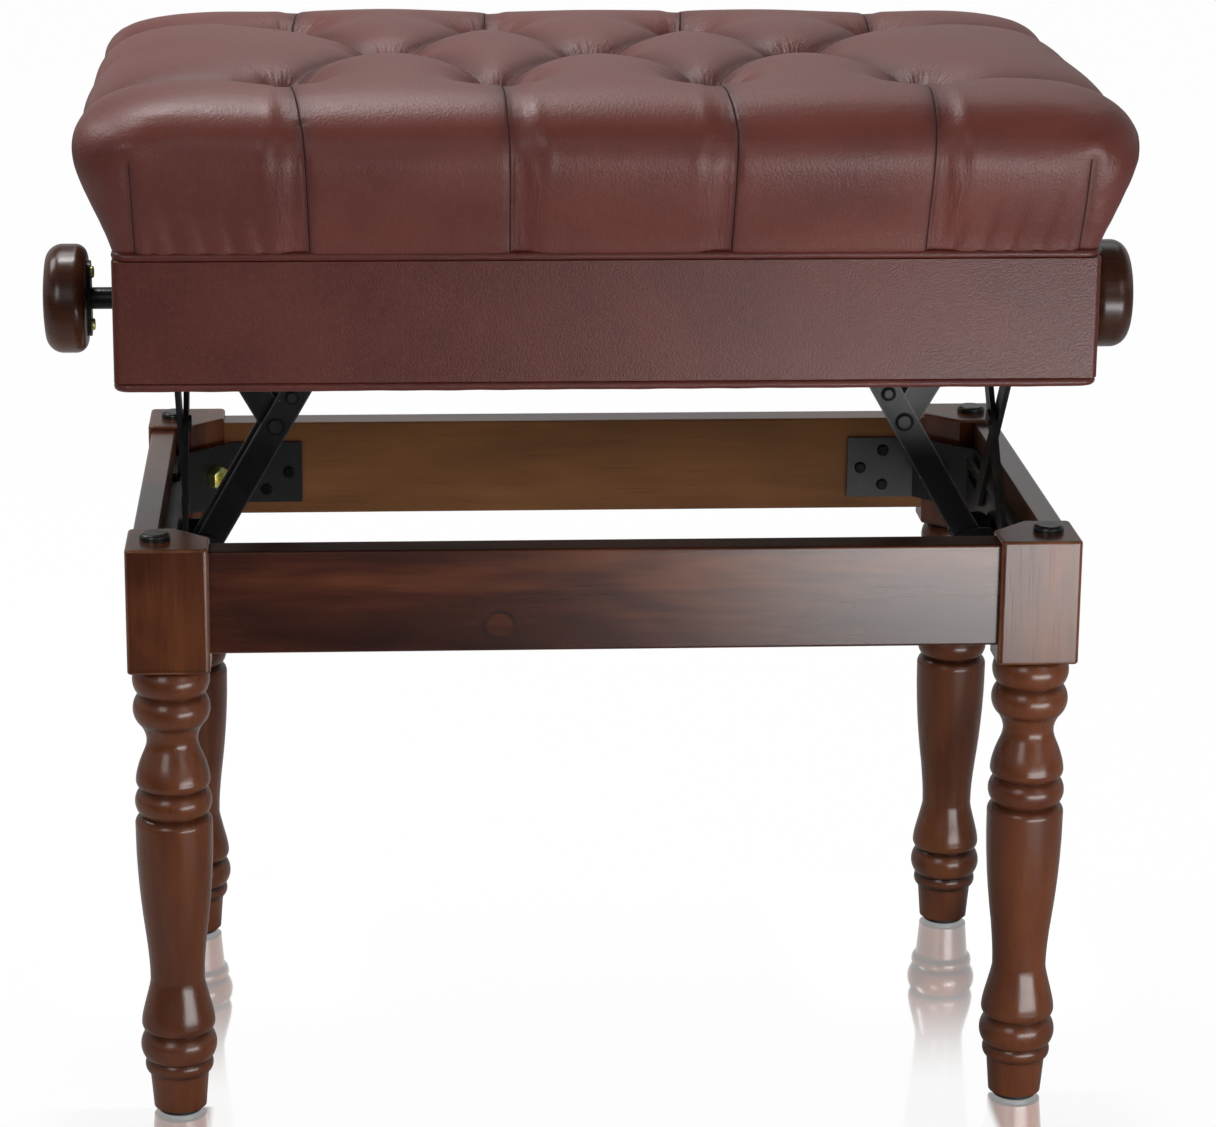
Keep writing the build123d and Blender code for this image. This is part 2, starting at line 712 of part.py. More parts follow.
# Lead screw right through the seat box, with a wooden knob on each end
def make_drive():
    shaft = rod_x(-shaft_end, shaft_end, 0, shaft_z, shaft_radius)
    parts["lead_screw"] = chamfer(shaft.edges().filter_by(GeomType.CIRCLE), glide_round)
    collar_in = seat_web_out_x + bush_flange + slot_play
    collar_out = collar_in + collar_length
    collar = rod_x(collar_in, collar_out, 0, shaft_z, collar_radius)
    collar -= rod_x(collar_in - cut_margin, collar_out + cut_margin, 0, shaft_z, shaft_radius + pin_play)
    parts["shaft_collars"] = group(both_ends(collar))

    rim = knob_length - knob_dome
    dome_radius = (knob_radius**2 + knob_dome**2) / (2 * knob_dome)
    dome_angle = degrees(asin(knob_radius / dome_radius))
    outline = make_face(
        [
            Line((0, 0), (0, knob_radius)),
            Line((0, knob_radius), (rim, knob_radius)),
            CenterArc((knob_length - dome_radius, 0), dome_radius, 0, dome_angle),
            Line((knob_length, 0), (0, 0)),
        ]
    )
    rim_corners = outline.vertices().group_by(Axis.Y)[-1].sort_by(Axis.X)
    outline = fillet(rim_corners[1], knob_outer_round)
    rim_corners = outline.vertices().group_by(Axis.Y)[-1].sort_by(Axis.X)
    outline = fillet(rim_corners[0], knob_inner_round)
    knob = Pos(knob_in_x, 0, shaft_z) * revolve(outline, Axis.X)
    knob -= rod_x(knob_in_x - cut_margin, shaft_end + pin_play, 0, shaft_z, shaft_radius + pin_play)
    flange_in = knob_in_x - knob_flange_thick
    rounded = knob_flange_length - knob_flange_width
    flange = bar_yz(
        (0, shaft_z - rounded / 2), (0, shaft_z + rounded / 2), knob_flange_width, flange_in, knob_in_x
    )
    flange -= rod_x(flange_in - cut_margin, knob_in_x + cut_margin, 0, shaft_z, shaft_radius + pin_play)
    screws = []
    for offset in (-knob_screw_offset, knob_screw_offset):
        plane = Plane(origin=(flange_in, 0, shaft_z + offset), x_dir=(0, 1, 0), z_dir=(1, 0, 0))
        knob -= screw_bore(plane, knob_screw_length)
        flange -= screw_bore(plane, knob_screw_length)
        screws += both_ends(pan_screw(plane, knob_screw_length))
    parts["right_knob"] = knob
    parts["left_knob"] = flip_x(knob)
    parts["knob_flanges"] = group(both_ends(flange))
    parts["knob_screws"] = group(screws)


# Wooden box under the cushion, its leather cover and the piping along both edges
def make_seat_box(bores):
    front = block(-board_out_x, board_out_x, -board_out_y, -board_in_y, board_bottom, board_top)
    side = block(board_in_x, board_out_x, -board_in_y, board_in_y, board_bottom, board_top)
    passage = rod_x(board_in_x - cut_margin, box_length / 2 + cut_margin, 0, shaft_z, shaft_hole_radius)
    side -= passage
    parts["front_skirt_board"] = front
    parts["rear_skirt_board"] = flip_y(front)
    parts["right_skirt_board"] = side
    parts["left_skirt_board"] = flip_x(side)

    outer = RectangleRounded(box_length, box_depth, cover_round)
    inner = Rectangle(2 * board_out_x, 2 * board_out_y)
    cover = Pos(0, 0, board_bottom) * extrude(outer - inner, box_height)
    parts["skirt_cover"] = cover - passage - flip_x(passage)

    pipes = []
    path_length = box_length - 2 * piping_radius
    path_depth = box_depth - 2 * piping_radius
    for z in (board_top + piping_radius, board_bottom - piping_radius):
        path = Pos(0, 0, z) * RectangleRounded(path_length, path_depth, cover_round + piping_radius)
        start = Plane(origin=(0, -path_depth / 2, z), x_dir=(0, 1, 0), z_dir=(1, 0, 0))
        pipes.append(sweep(start * Circle(piping_radius), path.wires()[0]))
    parts["skirt_piping"] = group(pipes)

    panel = block(-board_in_x, board_in_x, -board_in_y, board_in_y, panel_bottom, board_top)
    parts["seat_panel"] = panel - group(bores)
    cleat = Box(2 * board_in_x, cleat_size, cleat_size)
    cleat = Pos(0, board_in_y - cleat_size / 2, panel_bottom - cleat_size / 2) * cleat
    parts["panel_cleats"] = group([cleat, flip_y(cleat)])


# Triangle for a pleat's channel, its point at the given depth
def pleat_section(x, y, z, across, top):
    plane = Plane(origin=(x, y, z), x_dir=across, z_dir=Vector(across).cross(Vector(0, 0, 1)))
    rise = top - z
    return plane * make_face(
        Polyline((0, 0), (pleat_half_width, rise), (-pleat_half_width, rise), close=True)
    )


def pleat(points, top):
    first = Vector(points[0][0], points[0][1])
    last = Vector(points[-1][0], points[-1][1])
    run = (last - first).normalized()
    across = Vector(-run.Y, run.X, 0)
    return loft([pleat_section(x, y, z, across, top) for x, y, z in points], ruled=True)


# Crowned cushion, drawn in over the box, with sewn tufts in staggered rows joined by pleats
def make_cushion():
    bottom = board_top
    top = bottom + cushion_height
    sections = []
    for height, width, corner in cushion_levels:
        out = width * (cushion_overhang + cushion_inset) - cushion_inset
        outline = RectangleRounded(box_length + 2 * out, box_depth + 2 * out, cushion_corner * corner)
        sections.append(Pos(0, 0, bottom + height * cushion_height) * outline)
    cushion = loft(sections, ruled=True)

    clear = top + pleat_half_width
    low = top - tuft_depth
    knee = low + tuft_knee
    crease = low + pleat_rise
    bridge = top - pleat_bridge
    edge_x = box_length / 2 + cushion_overhang
    edge_y = box_depth / 2 + cushion_overhang
    outer_columns = [-1.5, -0.5, 0.5, 1.5]
    middle_columns = [-1, 0, 1]

    dimple = Pos(0, 0, (low + knee) / 2) * Cone(tuft_tip, tuft_throat, knee - low)
    dimple += Pos(0, 0, (knee + clear) / 2) * Cone(tuft_throat, tuft_mouth, clear - knee)
    tufts = [(column, 0) for column in middle_columns]
    tufts += [(column, row) for column in outer_columns for row in (-1, 1)]
    cuts = [Pos(column * tuft_pitch, row * tuft_row, 0) * dimple for column, row in tufts]

    # Pleats of the diamonds between the rows
    for column in middle_columns:
        x = column * tuft_pitch
        for step_x in (-tuft_pitch / 2, tuft_pitch / 2):
            for end_y in (-tuft_row, tuft_row):
                halfway = (x + step_x / 2, end_y / 2, bridge)
                cuts.append(pleat([(x, 0, crease), halfway, (x + step_x, end_y, crease)], clear))

    # Pleats from the outer tufts over the edges
    heights = [crease, bridge, top - pleat_rim, top - pleat_fade]
    for side_y in (-1, 1):
        for column in outer_columns:
            run_y = edge_y - tuft_row
            points = []
            for share, z in zip(pleat_stops, heights):
                points.append((column * tuft_pitch, side_y * (tuft_row + run_y * share), z))
            cuts.append(pleat(points, clear))
        for column in (outer_columns[0], outer_columns[-1]):
            start_x = column * tuft_pitch
            run_x = edge_x - abs(start_x)
            points = []
            for share, z in zip(pleat_stops, heights):
                points.append((start_x + run_x * share * column / abs(column), side_y * tuft_row, z))
            cuts.append(pleat(points, clear))
    cushion -= cuts
    parts["seat_cushion"] = cushion


rail_planes, rail_screw_length = make_frame()
make_rails(rail_planes, rail_screw_length)
make_linkage()
make_braces()
panel_bores = make_seat_plates()
make_drive()
make_seat_box(panel_bores)
make_cushion()

print("seat drop", round(seat_drop, 3), "arm low angle", round(low_angle, 4))
print("brace low angle", round(brace_low_angle, 4), "brace rear end", round(brace_low_rear_y, 3))
print("pivots", round(mid_x, 3), round(mid_z, 3), round(tip_x, 3), round(shaft_z, 3))
print("brace cross", round((brace_front_y + brace_rear_y) / 2, 3), "rear", round(brace_rear_y, 3))

os.makedirs("parts", exist_ok=True)
for name, shape in parts.items():
    export_step(shape, "parts/" + name + ".step")
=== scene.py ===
import json
import math

import bmesh
import bpy
import numpy as np
from mathutils import Matrix, Vector


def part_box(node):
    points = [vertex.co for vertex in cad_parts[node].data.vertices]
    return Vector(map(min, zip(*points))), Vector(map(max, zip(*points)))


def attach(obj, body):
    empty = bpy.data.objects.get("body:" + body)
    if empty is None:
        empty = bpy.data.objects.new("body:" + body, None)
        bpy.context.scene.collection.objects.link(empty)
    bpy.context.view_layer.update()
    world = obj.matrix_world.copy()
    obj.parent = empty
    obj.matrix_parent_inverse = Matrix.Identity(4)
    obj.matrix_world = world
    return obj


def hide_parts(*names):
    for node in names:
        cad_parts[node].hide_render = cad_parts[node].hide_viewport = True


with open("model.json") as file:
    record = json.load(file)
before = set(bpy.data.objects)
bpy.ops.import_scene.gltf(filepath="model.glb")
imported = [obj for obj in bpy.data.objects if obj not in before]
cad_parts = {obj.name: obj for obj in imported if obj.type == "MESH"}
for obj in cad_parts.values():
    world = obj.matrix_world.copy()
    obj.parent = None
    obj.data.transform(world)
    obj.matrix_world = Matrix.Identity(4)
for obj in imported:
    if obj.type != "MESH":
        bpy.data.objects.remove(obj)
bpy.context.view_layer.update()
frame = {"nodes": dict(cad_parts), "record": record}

mm = 0.001
print("frame loaded:", len(frame["nodes"]), "nodes")


class Wire:  # a node's socket that can be used in sums
    def __init__(self, finish, socket):
        self.finish = finish
        self.socket = socket

    def maths(self, operation, *values):
        return self.finish.node("Math", {"operation": operation}, dict(enumerate(values)))

    def __add__(self, other):
        return self.maths("ADD", self, other)

    def __radd__(self, other):
        return self.maths("ADD", other, self)

    def __sub__(self, other):
        return self.maths("SUBTRACT", self, other)

    def __rsub__(self, other):
        return self.maths("SUBTRACT", other, self)

    def __mul__(self, other):
        return self.maths("MULTIPLY", self, other)

    def __rmul__(self, other):
        return self.maths("MULTIPLY", other, self)

    def __truediv__(self, other):
        return self.maths("DIVIDE", self, other)

    def __pow__(self, other):
        return self.maths("POWER", self, other)

    def __abs__(self):
        return self.maths("ABSOLUTE", self)

    def least(self, other):
        return self.maths("MINIMUM", self, other)

    def most(self, other):
        return self.maths("MAXIMUM", self, other)

    def ease(self, start, end, low=0.0, high=1.0):  # smooth step between two values
        inputs = {0: self, 1: start, 2: end, 3: low, 4: high}
        return self.finish.node("MapRange", {"interpolation_type": "SMOOTHSTEP"}, inputs)


class NodeSet:  # the nodes of one tree
    def __init__(self, tree):
        self.nodes = tree.nodes
        self.links = tree.links

    def node(self, kind, settings=None, inputs=None, out=0):
        made = self.nodes.new("ShaderNode" + kind)
        for name, value in (settings or {}).items():
            if name == "stops":
                self.setStops(made.color_ramp.elements, value)
            else:
                setattr(made, name, value)
        for key, value in (inputs or {}).items():
            self.feed(made.inputs[key], value)
        return Wire(self, made.outputs[out])

    def setStops(self, elements, stops):
        while len(elements) < len(stops):
            elements.new(1.0)
        for element, (place, colour) in zip(elements, stops):
            element.position = place
            element.color = colour if hasattr(colour, "__len__") else (colour, colour, colour, 1)

    def feed(self, socket, value):
        if isinstance(value, Wire):
            self.links.new(value.socket, socket)
        elif hasattr(value, "__len__") and len(value) == 3 and socket.type == "RGBA":
            socket.default_value = (*value, 1)
        else:
            socket.default_value = value

    def point(self):
        return self.node("TexCoord", out=3)

    def facing(self):
        return self.parts(self.node("TexCoord", out=1))

    def parts(self, vector):
        return [self.node("SeparateXYZ", None, {0: vector}, out=i) for i in range(3)]

    def stretch(self, vector, factors):
        return self.node("VectorMath", {"operation": "MULTIPLY"}, {0: vector, 1: factors})

    def shift(self, vector, step):
        return self.node("VectorMath", {"operation": "ADD"}, {0: vector, 1: step})

    def noise(self, vector, scale, detail=3.0, roughness=0.55, distortion=0.0):
        inputs = {"Vector": vector, "Scale": scale, "Detail": detail}
        inputs.update({"Roughness": roughness, "Distortion": distortion})
        return self.node("TexNoise", None, inputs)

    def cells(self, vector, scale):
        return self.node("TexVoronoi", None, {"Vector": vector, "Scale": scale})

    def ramp(self, value, stops):
        return self.node("ValToRGB", {"stops": stops}, {0: value})

    def mix(self, share, first, second, blend="MIX"):
        settings = {"data_type": "RGBA", "blend_type": blend}
        return self.node("Mix", settings, {0: share, 6: first, 7: second}, out=2)

    def attribute(self, name):
        return self.node("Attribute", {"attribute_name": name}, out=2)

    def bump(self, height, distance, strength=1.0):
        return self.node("Bump", None, {"Strength": strength, "Distance": distance, "Height": height})

    def blend(self, share, first, second):
        return self.node("MixShader", None, {0: share, 1: first, 2: second})

    def rays(self, kind):
        return self.node("LightPath", out={"camera": 0, "glossy": 3, "clear": 6}[kind])


class Finish(NodeSet):  # one material and the nodes that make it
    def __init__(self, name):
        self.material = bpy.data.materials.new(name)
        self.material.use_nodes = True
        super().__init__(self.material.node_tree)
        self.shader = self.nodes["Principled BSDF"]
        self.output = self.nodes["Material Output"]

    def surface(self, **values):
        for name, value in values.items():
            self.feed(self.shader.inputs[name.replace("_", " ")], value)
        return self.material


def addPiece(name, mesh, material, body):
    piece = bpy.data.objects.new(name, mesh)
    bpy.context.scene.collection.objects.link(piece)
    mesh.materials.append(material)
    mesh.polygons.foreach_set("use_smooth", [True] * len(mesh.polygons))
    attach(piece, body)
    return piece


def meshOf(name, points, faces):
    mesh = bpy.data.meshes.new(name)
    mesh.from_pydata([tuple(p) for p in points], [], faces)
    mesh.update()
    return mesh


# Leather: oxblood, fine pebble, softly rubbed and painted lighter as top light where it is full and faces up, with
# painted shade in the valleys and dark sewn lines in the folds
leatherLook = {
    "deep": (0.082, 0.0172, 0.0126),
    "full": (0.109, 0.0250, 0.0182),
    "rubbedAndLit": (0.160, 0.0380, 0.0285),
    "valleyShade": (0.058, 0.0100, 0.0070),
    "fold": (0.014, 0.0034, 0.0030),
    "cloudScale": 16.0, "pebbleScale": 620.0, "poreScale": 1700.0, "creaseScale": 210.0,
    "frayScale": 90.0, "rippleScale": 190.0, "gatherScale": 4.6,
    "pebble": 0.55, "pore": 0.25, "crease": 0.2, "sewnCrease": 1.1,
    "seamCore": 0.0001, "seamWidth": 0.0003, "seamFray": 0.0006, "lipAway": 0.0016, "lipWidth": 0.0011,
    "roughness": 0.43, "gloss": 0.41, "bumpDistance": 0.00016, "bumpStrength": 0.75,
}


def leatherFinish(name, look, sewn):
    finish = Finish(name)
    point = finish.point()
    cloud = finish.noise(point, look["cloudScale"], 3.0, 0.5)
    mottle = finish.noise(point, look["pebbleScale"] * 0.35, 3.0)
    colour = finish.mix(cloud.ease(0.3, 0.7), look["deep"], look["full"])
    colour = finish.mix(mottle.ease(0.45, 0.8, 0.0, 0.2), colour, look["rubbedAndLit"])
    grain = finish.cells(finish.shift(point, (0.31, 0.17, 0.05)), look["pebbleScale"])
    pores = finish.noise(point, look["poreScale"], 2.0)
    creases = finish.noise(finish.stretch(point, (1.0, 1.0, 0.16)), look["creaseScale"], 5.0, 0.6, 0.8)
    creased = look["sewnCrease"] if sewn else look["crease"]
    roughness = look["roughness"] + 0.10 * (mottle - 0.5) + 0.06 * (cloud - 0.5)
    height = grain.ease(0.0, 0.75) * look["pebble"] + pores * look["pore"] + creases * creased
    if sewn:
        line = finish.attribute("foldLine")  # signed distance to the nearest sewn fold, in metres
        near = finish.attribute("foldNear")
        depth = finish.attribute("foldDepth")
        rub = finish.attribute("rub")
        frayed = finish.noise(point, look["frayScale"], 2.0)
        seam = abs(line).ease(look["seamCore"], look["seamWidth"] + look["seamFray"] * frayed, 1.0, 0.0) * near
        lip = abs(line + look["lipAway"]).ease(0.0, look["lipWidth"], 1.0, 0.0) * near
        z = finish.parts(point)[2]
        lap = finish.attribute("bandLine")  # the same to the nearest lapped seam
        band = lap.ease(0.0008, 0.003) * lap.ease(0.012, 0.024, 1.0, 0.0) * finish.attribute("bandNear")
        beside = finish.node("CombineXYZ", None, {0: lap, 1: z * 0.2, 2: 0.0})
        ripple = finish.noise(beside, look["rippleScale"], 4.0, 0.6, 0.6)
        tx, ty = finish.attribute("tuftX"), finish.attribute("tuftY")
        reach = (tx * tx + ty * ty) ** 0.5
        spoke = finish.node("CombineXYZ", None, {0: tx / reach, 1: ty / reach, 2: reach * 14.0})
        gather = finish.noise(spoke, look["gatherScale"], 4.0, 0.65, 0.3)
        drawn = reach.ease(0.003, 0.010) * reach.ease(0.018, 0.046, 1.0, 0.0) * finish.attribute("tuftNear")
        # rubbed wear and painted top light: upward faces away from the folds are paler
        colour = finish.mix(rub * 0.5, colour, look["rubbedAndLit"])
        # painted shade: the valleys round the tufts and pleats are darker
        colour = finish.mix(depth.ease(0.15, 1.0) * 0.55, colour, look["valleyShade"])
        colour = finish.mix(gather.ease(0.55, 0.75) * drawn * 0.5, colour, look["rubbedAndLit"])
        colour = finish.mix(seam * 0.95, colour, look["fold"])
        roughness = roughness + 0.10 * depth + 0.5 * seam
        height = height - seam * 4.0 + lip * 0.7 + ripple * band * 7.0 + gather * drawn * 9.0
    normal = finish.bump(height, look["bumpDistance"], look["bumpStrength"])
    return finish.surface(
        Base_Color=colour, Roughness=roughness, Normal=normal, Specular_IOR_Level=look["gloss"],
    )


# Stained wood: soft grain along one axis, flame figure, fine pores, satin lacquer
woodLook = {
    "dark": (0.037, 0.0088, 0.0036),
    "brown": (0.067, 0.0182, 0.0062),
    "red": (0.110, 0.0325, 0.0100),
    "glazeAndShade": (0.010, 0.0030, 0.0020),
    "rub": (0.21, 0.085, 0.040),
    "turned": (0.110, 0.0310, 0.0110),
    "inside": (0.160, 0.068, 0.0225),
    "insideDark": (0.078, 0.030, 0.0098),
    "stainAt": (0.45, 0.55, 0.66),
    "warpScale": 11.0, "grainScale": 40.0, "streakScale": 260.0, "poreScale": 900.0, "flameScale": 17.0,
    "warp": 0.28, "grain": 0.30, "streak": 0.10, "flame": 0.44,
    "roughness": 0.25, "gloss": 0.29, "lacquer": 0.20, "lacquerRoughness": 0.19,
    "bumpDistance": 0.00010, "bumpStrength": 0.4,
    "knotWide": 1.15, "knotRing": 0.0016,
    "grooveSpan": 0.34, "grooveHalf": 0.0030,
    "legX": 0.240, "legY": 0.140, "blockHalf": 0.02275, "blockTop": 0.337, "blockFoot": 0.266,
    "wornLitFrom": 0.0020, "wornLitTo": 0.0006,
}


def woodFinish(name, look, axis, shade=1.0, grooves=(), knot=None, blocks=False, inside=False):
    finish = Finish(name)
    point = finish.point()
    along = [1.0, 1.0, 1.0]
    along[axis] = 0.10
    drawn = finish.stretch(point, along)
    warp = finish.noise(drawn, look["warpScale"], 2.0, 0.5, 0.6)
    grain = finish.noise(drawn, look["grainScale"], 5.0, 0.55, 0.8)
    streak = finish.noise(drawn, look["streakScale"], 3.0, 0.6)
    along[axis] = 0.02
    pores = finish.noise(finish.stretch(point, along), look["poreScale"], 2.0)
    along[axis] = 0.45
    flame = finish.noise(finish.stretch(point, along), look["flameScale"], 2.0, 0.5, 1.2)
    figure = grain * look["grain"] + streak * look["streak"] + warp * look["warp"] + flame * look["flame"]
    x, y, z = finish.parts(point)
    knotMask = None
    if knot:  # its place along and up, and its radius
        knotX, knotZ, knotRadius = knot
        across = (x - knotX) / look["knotWide"]
        up = z - knotZ
        away = (across * across + up * up) ** 0.5
        wobble = finish.noise(point, 150.0, 2.0) * 0.004
        ring = (abs(away + wobble - knotRadius - 0.002) / look["knotRing"]).ease(0.0, 1.0, 1.0, 0.0)
        knotMask = ring * finish.noise(point, 120.0, 2.0).ease(0.35, 0.6, 0.3, 1.0)
        paler = away.ease(knotRadius * 0.7, knotRadius * 1.05, 0.05, 0.0)
        # the knot's inside is paler; painted light makes the apron redder and lighter towards the right
        figure = figure + paler + x.ease(-0.16, 0.10, 0.0, 0.06)
    stains = zip(look["stainAt"], (look["dark"], look["brown"], look["red"]))
    colour = finish.ramp(figure, [(place, (*stain, 1)) for place, stain in stains])
    roughness = look["roughness"] + 0.08 * (streak - 0.5) + 0.06 * (warp - 0.5)
    lacquer = look["lacquer"]
    if inside:  # the inner faces get their own colours and no polish: paler where less stained, and on the side aprons darker as painted shade
        fx, fy, fz = finish.facing()
        inner = (fx * x + fy * y).ease(-0.12, -0.06, 1.0, 0.0)
        dull = inner.most(fz.ease(0.5, 0.9) * look["dullTop"])
        roughness = roughness + 0.35 * dull
        lacquer = lacquer * (1.0 - dull)
        # painted shade: the top faces are darkened, on the front apron under the seat
        colour = finish.mix(fz.ease(0.5, 0.9) * look["dullTop"] * 0.7, colour, look["glazeAndShade"])
        pale = finish.mix(figure.ease(0.38, 0.75), look["insideDark"], look["inside"])
        colour = finish.mix(inner, colour, pale)
    if knotMask:
        colour = finish.mix(knotMask * 0.9, colour, look["glazeAndShade"])
    if grooves:  # dark glaze and painted shade in the turned grooves
        span, wide = look["grooveSpan"], look["grooveHalf"]
        stops = []
        for height in sorted(grooves):
            stops += [((height - wide) / span, 0.0), (height / span, 1.0), ((height + wide) / span, 0.0)]
        colour = finish.mix(finish.ramp(z / span, stops), colour, look["glazeAndShade"])
    if blocks:  # stain rubbed thin along the edges of the leg blocks, paler there also as a painted highlight, and the front legs below the blocks painted lighter
        half, top, foot = look["blockHalf"], look["blockTop"], look["blockFoot"]
        start, full = look["wornLitFrom"], look["wornLitTo"]
        ex = abs(abs(x) - look["legX"])
        ey = abs(abs(y) - look["legY"])
        upright = ex.least(ey).ease(half - start, half - full) * z.ease(foot, foot + 0.003)
        lowEnd = z.ease(foot + 0.0008, foot + 0.0020, 1.0, 0.0) * z.ease(foot - 0.0005, foot)
        ends = z.ease(top - start, top - full) + lowEnd
        rim = ex.most(ey).ease(half - start, half - full) * ends
        wornAndLit = upright.most(rim) * finish.noise(point, 55.0, 3.0).ease(0.3, 0.6, 0.35, 1.0)
        # painted light: the front legs below the blocks are lighter than the rear ones, which stand in the seat's
        # shade
        turned = z.ease(foot - 0.004, foot, 1.0, 0.0) * y.ease(-0.05, 0.05, 1.0, 0.0)
        colour = finish.mix(turned * 0.35, colour, look["turned"])
        colour = finish.mix(wornAndLit * 0.5, colour, look["rub"])
    colour = finish.mix(pores.ease(0.60, 0.74, 0.0, 0.3), colour, look["glazeAndShade"])
    if shade != 1.0:
        colour = finish.mix(1.0, colour, (shade, shade, shade), "MULTIPLY")
    height = streak * 0.35 - pores.ease(0.55, 0.75)
    return finish.surface(
        Base_Color=colour, Roughness=roughness, Specular_IOR_Level=look["gloss"],
        Normal=finish.bump(height, look["bumpDistance"], look["bumpStrength"]),
        Coat_Weight=lacquer, Coat_Roughness=look["lacquerRoughness"],
    )


# Bare wood of the boards inside the seat
rawWoodLook = {
    "pale": (0.52, 0.36, 0.19), "dark": (0.34, 0.20, 0.09),
    "ringScale": 60.0, "fibreScale": 480.0, "roughness": 0.62, "gloss": 0.3,
}


def rawWoodFinish(name, look, axis):
    finish = Finish(name)
    along = [1.0, 1.0, 1.0]
    along[axis] = 0.06
    drawn = finish.stretch(finish.point(), along)
    rings = finish.noise(drawn, look["ringScale"], 5.0, 0.6, 0.7)
    fibre = finish.noise(drawn, look["fibreScale"], 3.0)
    colour = finish.mix((rings * 0.7 + fibre * 0.3).ease(0.35, 0.7), look["dark"], look["pale"])
    return finish.surface(
        Base_Color=colour, Roughness=look["roughness"] + 0.2 * (fibre - 0.5),
        Normal=finish.bump(fibre, 0.0003, 0.5), Specular_IOR_Level=look["gloss"],
    )


# Black paint on steel: orange peel, dust, small rubbed marks, edges worn paler with a painted highlight, and
# painted shade in a ring around rivets
steelLook = {
    "paint": (0.0075, 0.0078, 0.0085),
    "dust": (0.028, 0.028, 0.029),
    "bare": (0.24, 0.24, 0.25),
    "edge": (0.060, 0.061, 0.064),
    "rivetShade": (0.0012, 0.0012, 0.0013),
    "smearScale": 34.0, "speckScale": 520.0, "peelScale": 900.0, "scratchScale": 420.0,
    "wornLitFrom": 0.0013, "wornLitTo": 0.0003, "ringFull": 0.0004, "ringGone": 0.0014,
    "roughness": 0.36, "gloss": 0.26,
}


def steelFinish(name, look, bar=None, heads=()):
    finish = Finish(name)
    point = finish.point()
    smear = finish.noise(finish.stretch(point, (1.0, 1.0, 0.5)), look["smearScale"], 5.0, 0.65, 0.5)
    speck = finish.noise(point, look["speckScale"], 3.0, 0.6)
    peel = finish.noise(point, look["peelScale"], 2.0)
    scratch = finish.noise(finish.stretch(point, (0.25, 1.0, 0.25)), look["scratchScale"], 2.0)
    chip = (speck * 0.6 + scratch * 0.4 + smear * 0.35).ease(0.86, 0.92)
    colour = finish.mix(smear.ease(0.45, 0.8, 0.0, 0.5), look["paint"], look["dust"])
    x, _, z = finish.parts(point)
    if bar:  # paint worn thin along the edges of a bar, paler there also as a painted highlight: both ends of its middle line and half its width
        (x0, z0), (x1, z1), half = bar
        long = math.hypot(x1 - x0, z1 - z0)
        beside = abs((abs(x) - x0) * ((z1 - z0) / long) - (z - z0) * ((x1 - x0) / long))
        wornAndLit = beside.ease(half - look["wornLitFrom"], half - look["wornLitTo"])
        edge = wornAndLit * speck.ease(0.32, 0.55, 0.35, 1.0)
        colour = finish.mix(edge, colour, look["edge"])
    rough = look["roughness"] + 0.22 * (smear - 0.5)
    for hx, hz, reach in heads:  # painted shade in a ring around a rivet
        gap = ((abs(x) - hx) ** 2.0 + (z - hz) ** 2.0) ** 0.5
        ring = abs(gap - reach).ease(look["ringFull"], look["ringGone"], 0.95, 0.0)
        colour = finish.mix(ring, colour, look["rivetShade"])
        rough = rough + 0.4 * ring
    colour = finish.mix(chip, colour, look["bare"])
    return finish.surface(
        Base_Color=colour, Roughness=rough, Metallic=chip * 0.9, Specular_IOR_Level=look["gloss"],
        Normal=finish.bump(peel + scratch * 0.5, 0.00010, 0.5),
    )


# Yellow zinc on the nuts: gold to green, dulled in places
zincLook = {
    "gold": (0.80, 0.66, 0.15), "green": (0.58, 0.70, 0.26), "pale": (0.88, 0.88, 0.74),
    "hueScale": 160.0, "dullScale": 700.0, "roughness": 0.24,
}


def zincFinish(name, look):
    finish = Finish(name)
    point = finish.point()
    hue = finish.noise(point, look["hueScale"], 3.0)
    dull = finish.noise(point, look["dullScale"], 3.0)
    colour = finish.mix(hue.ease(0.35, 0.65), look["gold"], look["green"])
    colour = finish.mix(dull.ease(0.5, 0.75), colour, look["pale"])
    return finish.surface(
        Base_Color=colour, Roughness=look["roughness"] + 0.22 * dull, Metallic=1.0,
        Normal=finish.bump(dull, 0.00006, 0.5),
    )


# Rubber of the bumpers and plastic of the glides
bumperLook = {
    "black": (0.008, 0.008, 0.009), "dust": (0.03, 0.03, 0.032),
    "smearScale": 120.0, "grainScale": 1500.0, "roughness": 0.22, "gloss": 0.5,
}


def bumperFinish(name, look):
    finish = Finish(name)
    point = finish.point()
    smear = finish.noise(point, look["smearScale"], 4.0)
    colour = finish.mix(smear.ease(0.5, 0.8, 0.0, 0.6), look["black"], look["dust"])
    return finish.surface(
        Base_Color=colour, Roughness=look["roughness"] + 0.3 * (smear - 0.4),
        Specular_IOR_Level=look["gloss"],
        Normal=finish.bump(finish.noise(point, look["grainScale"], 2.0), 0.00004, 0.4),
    )


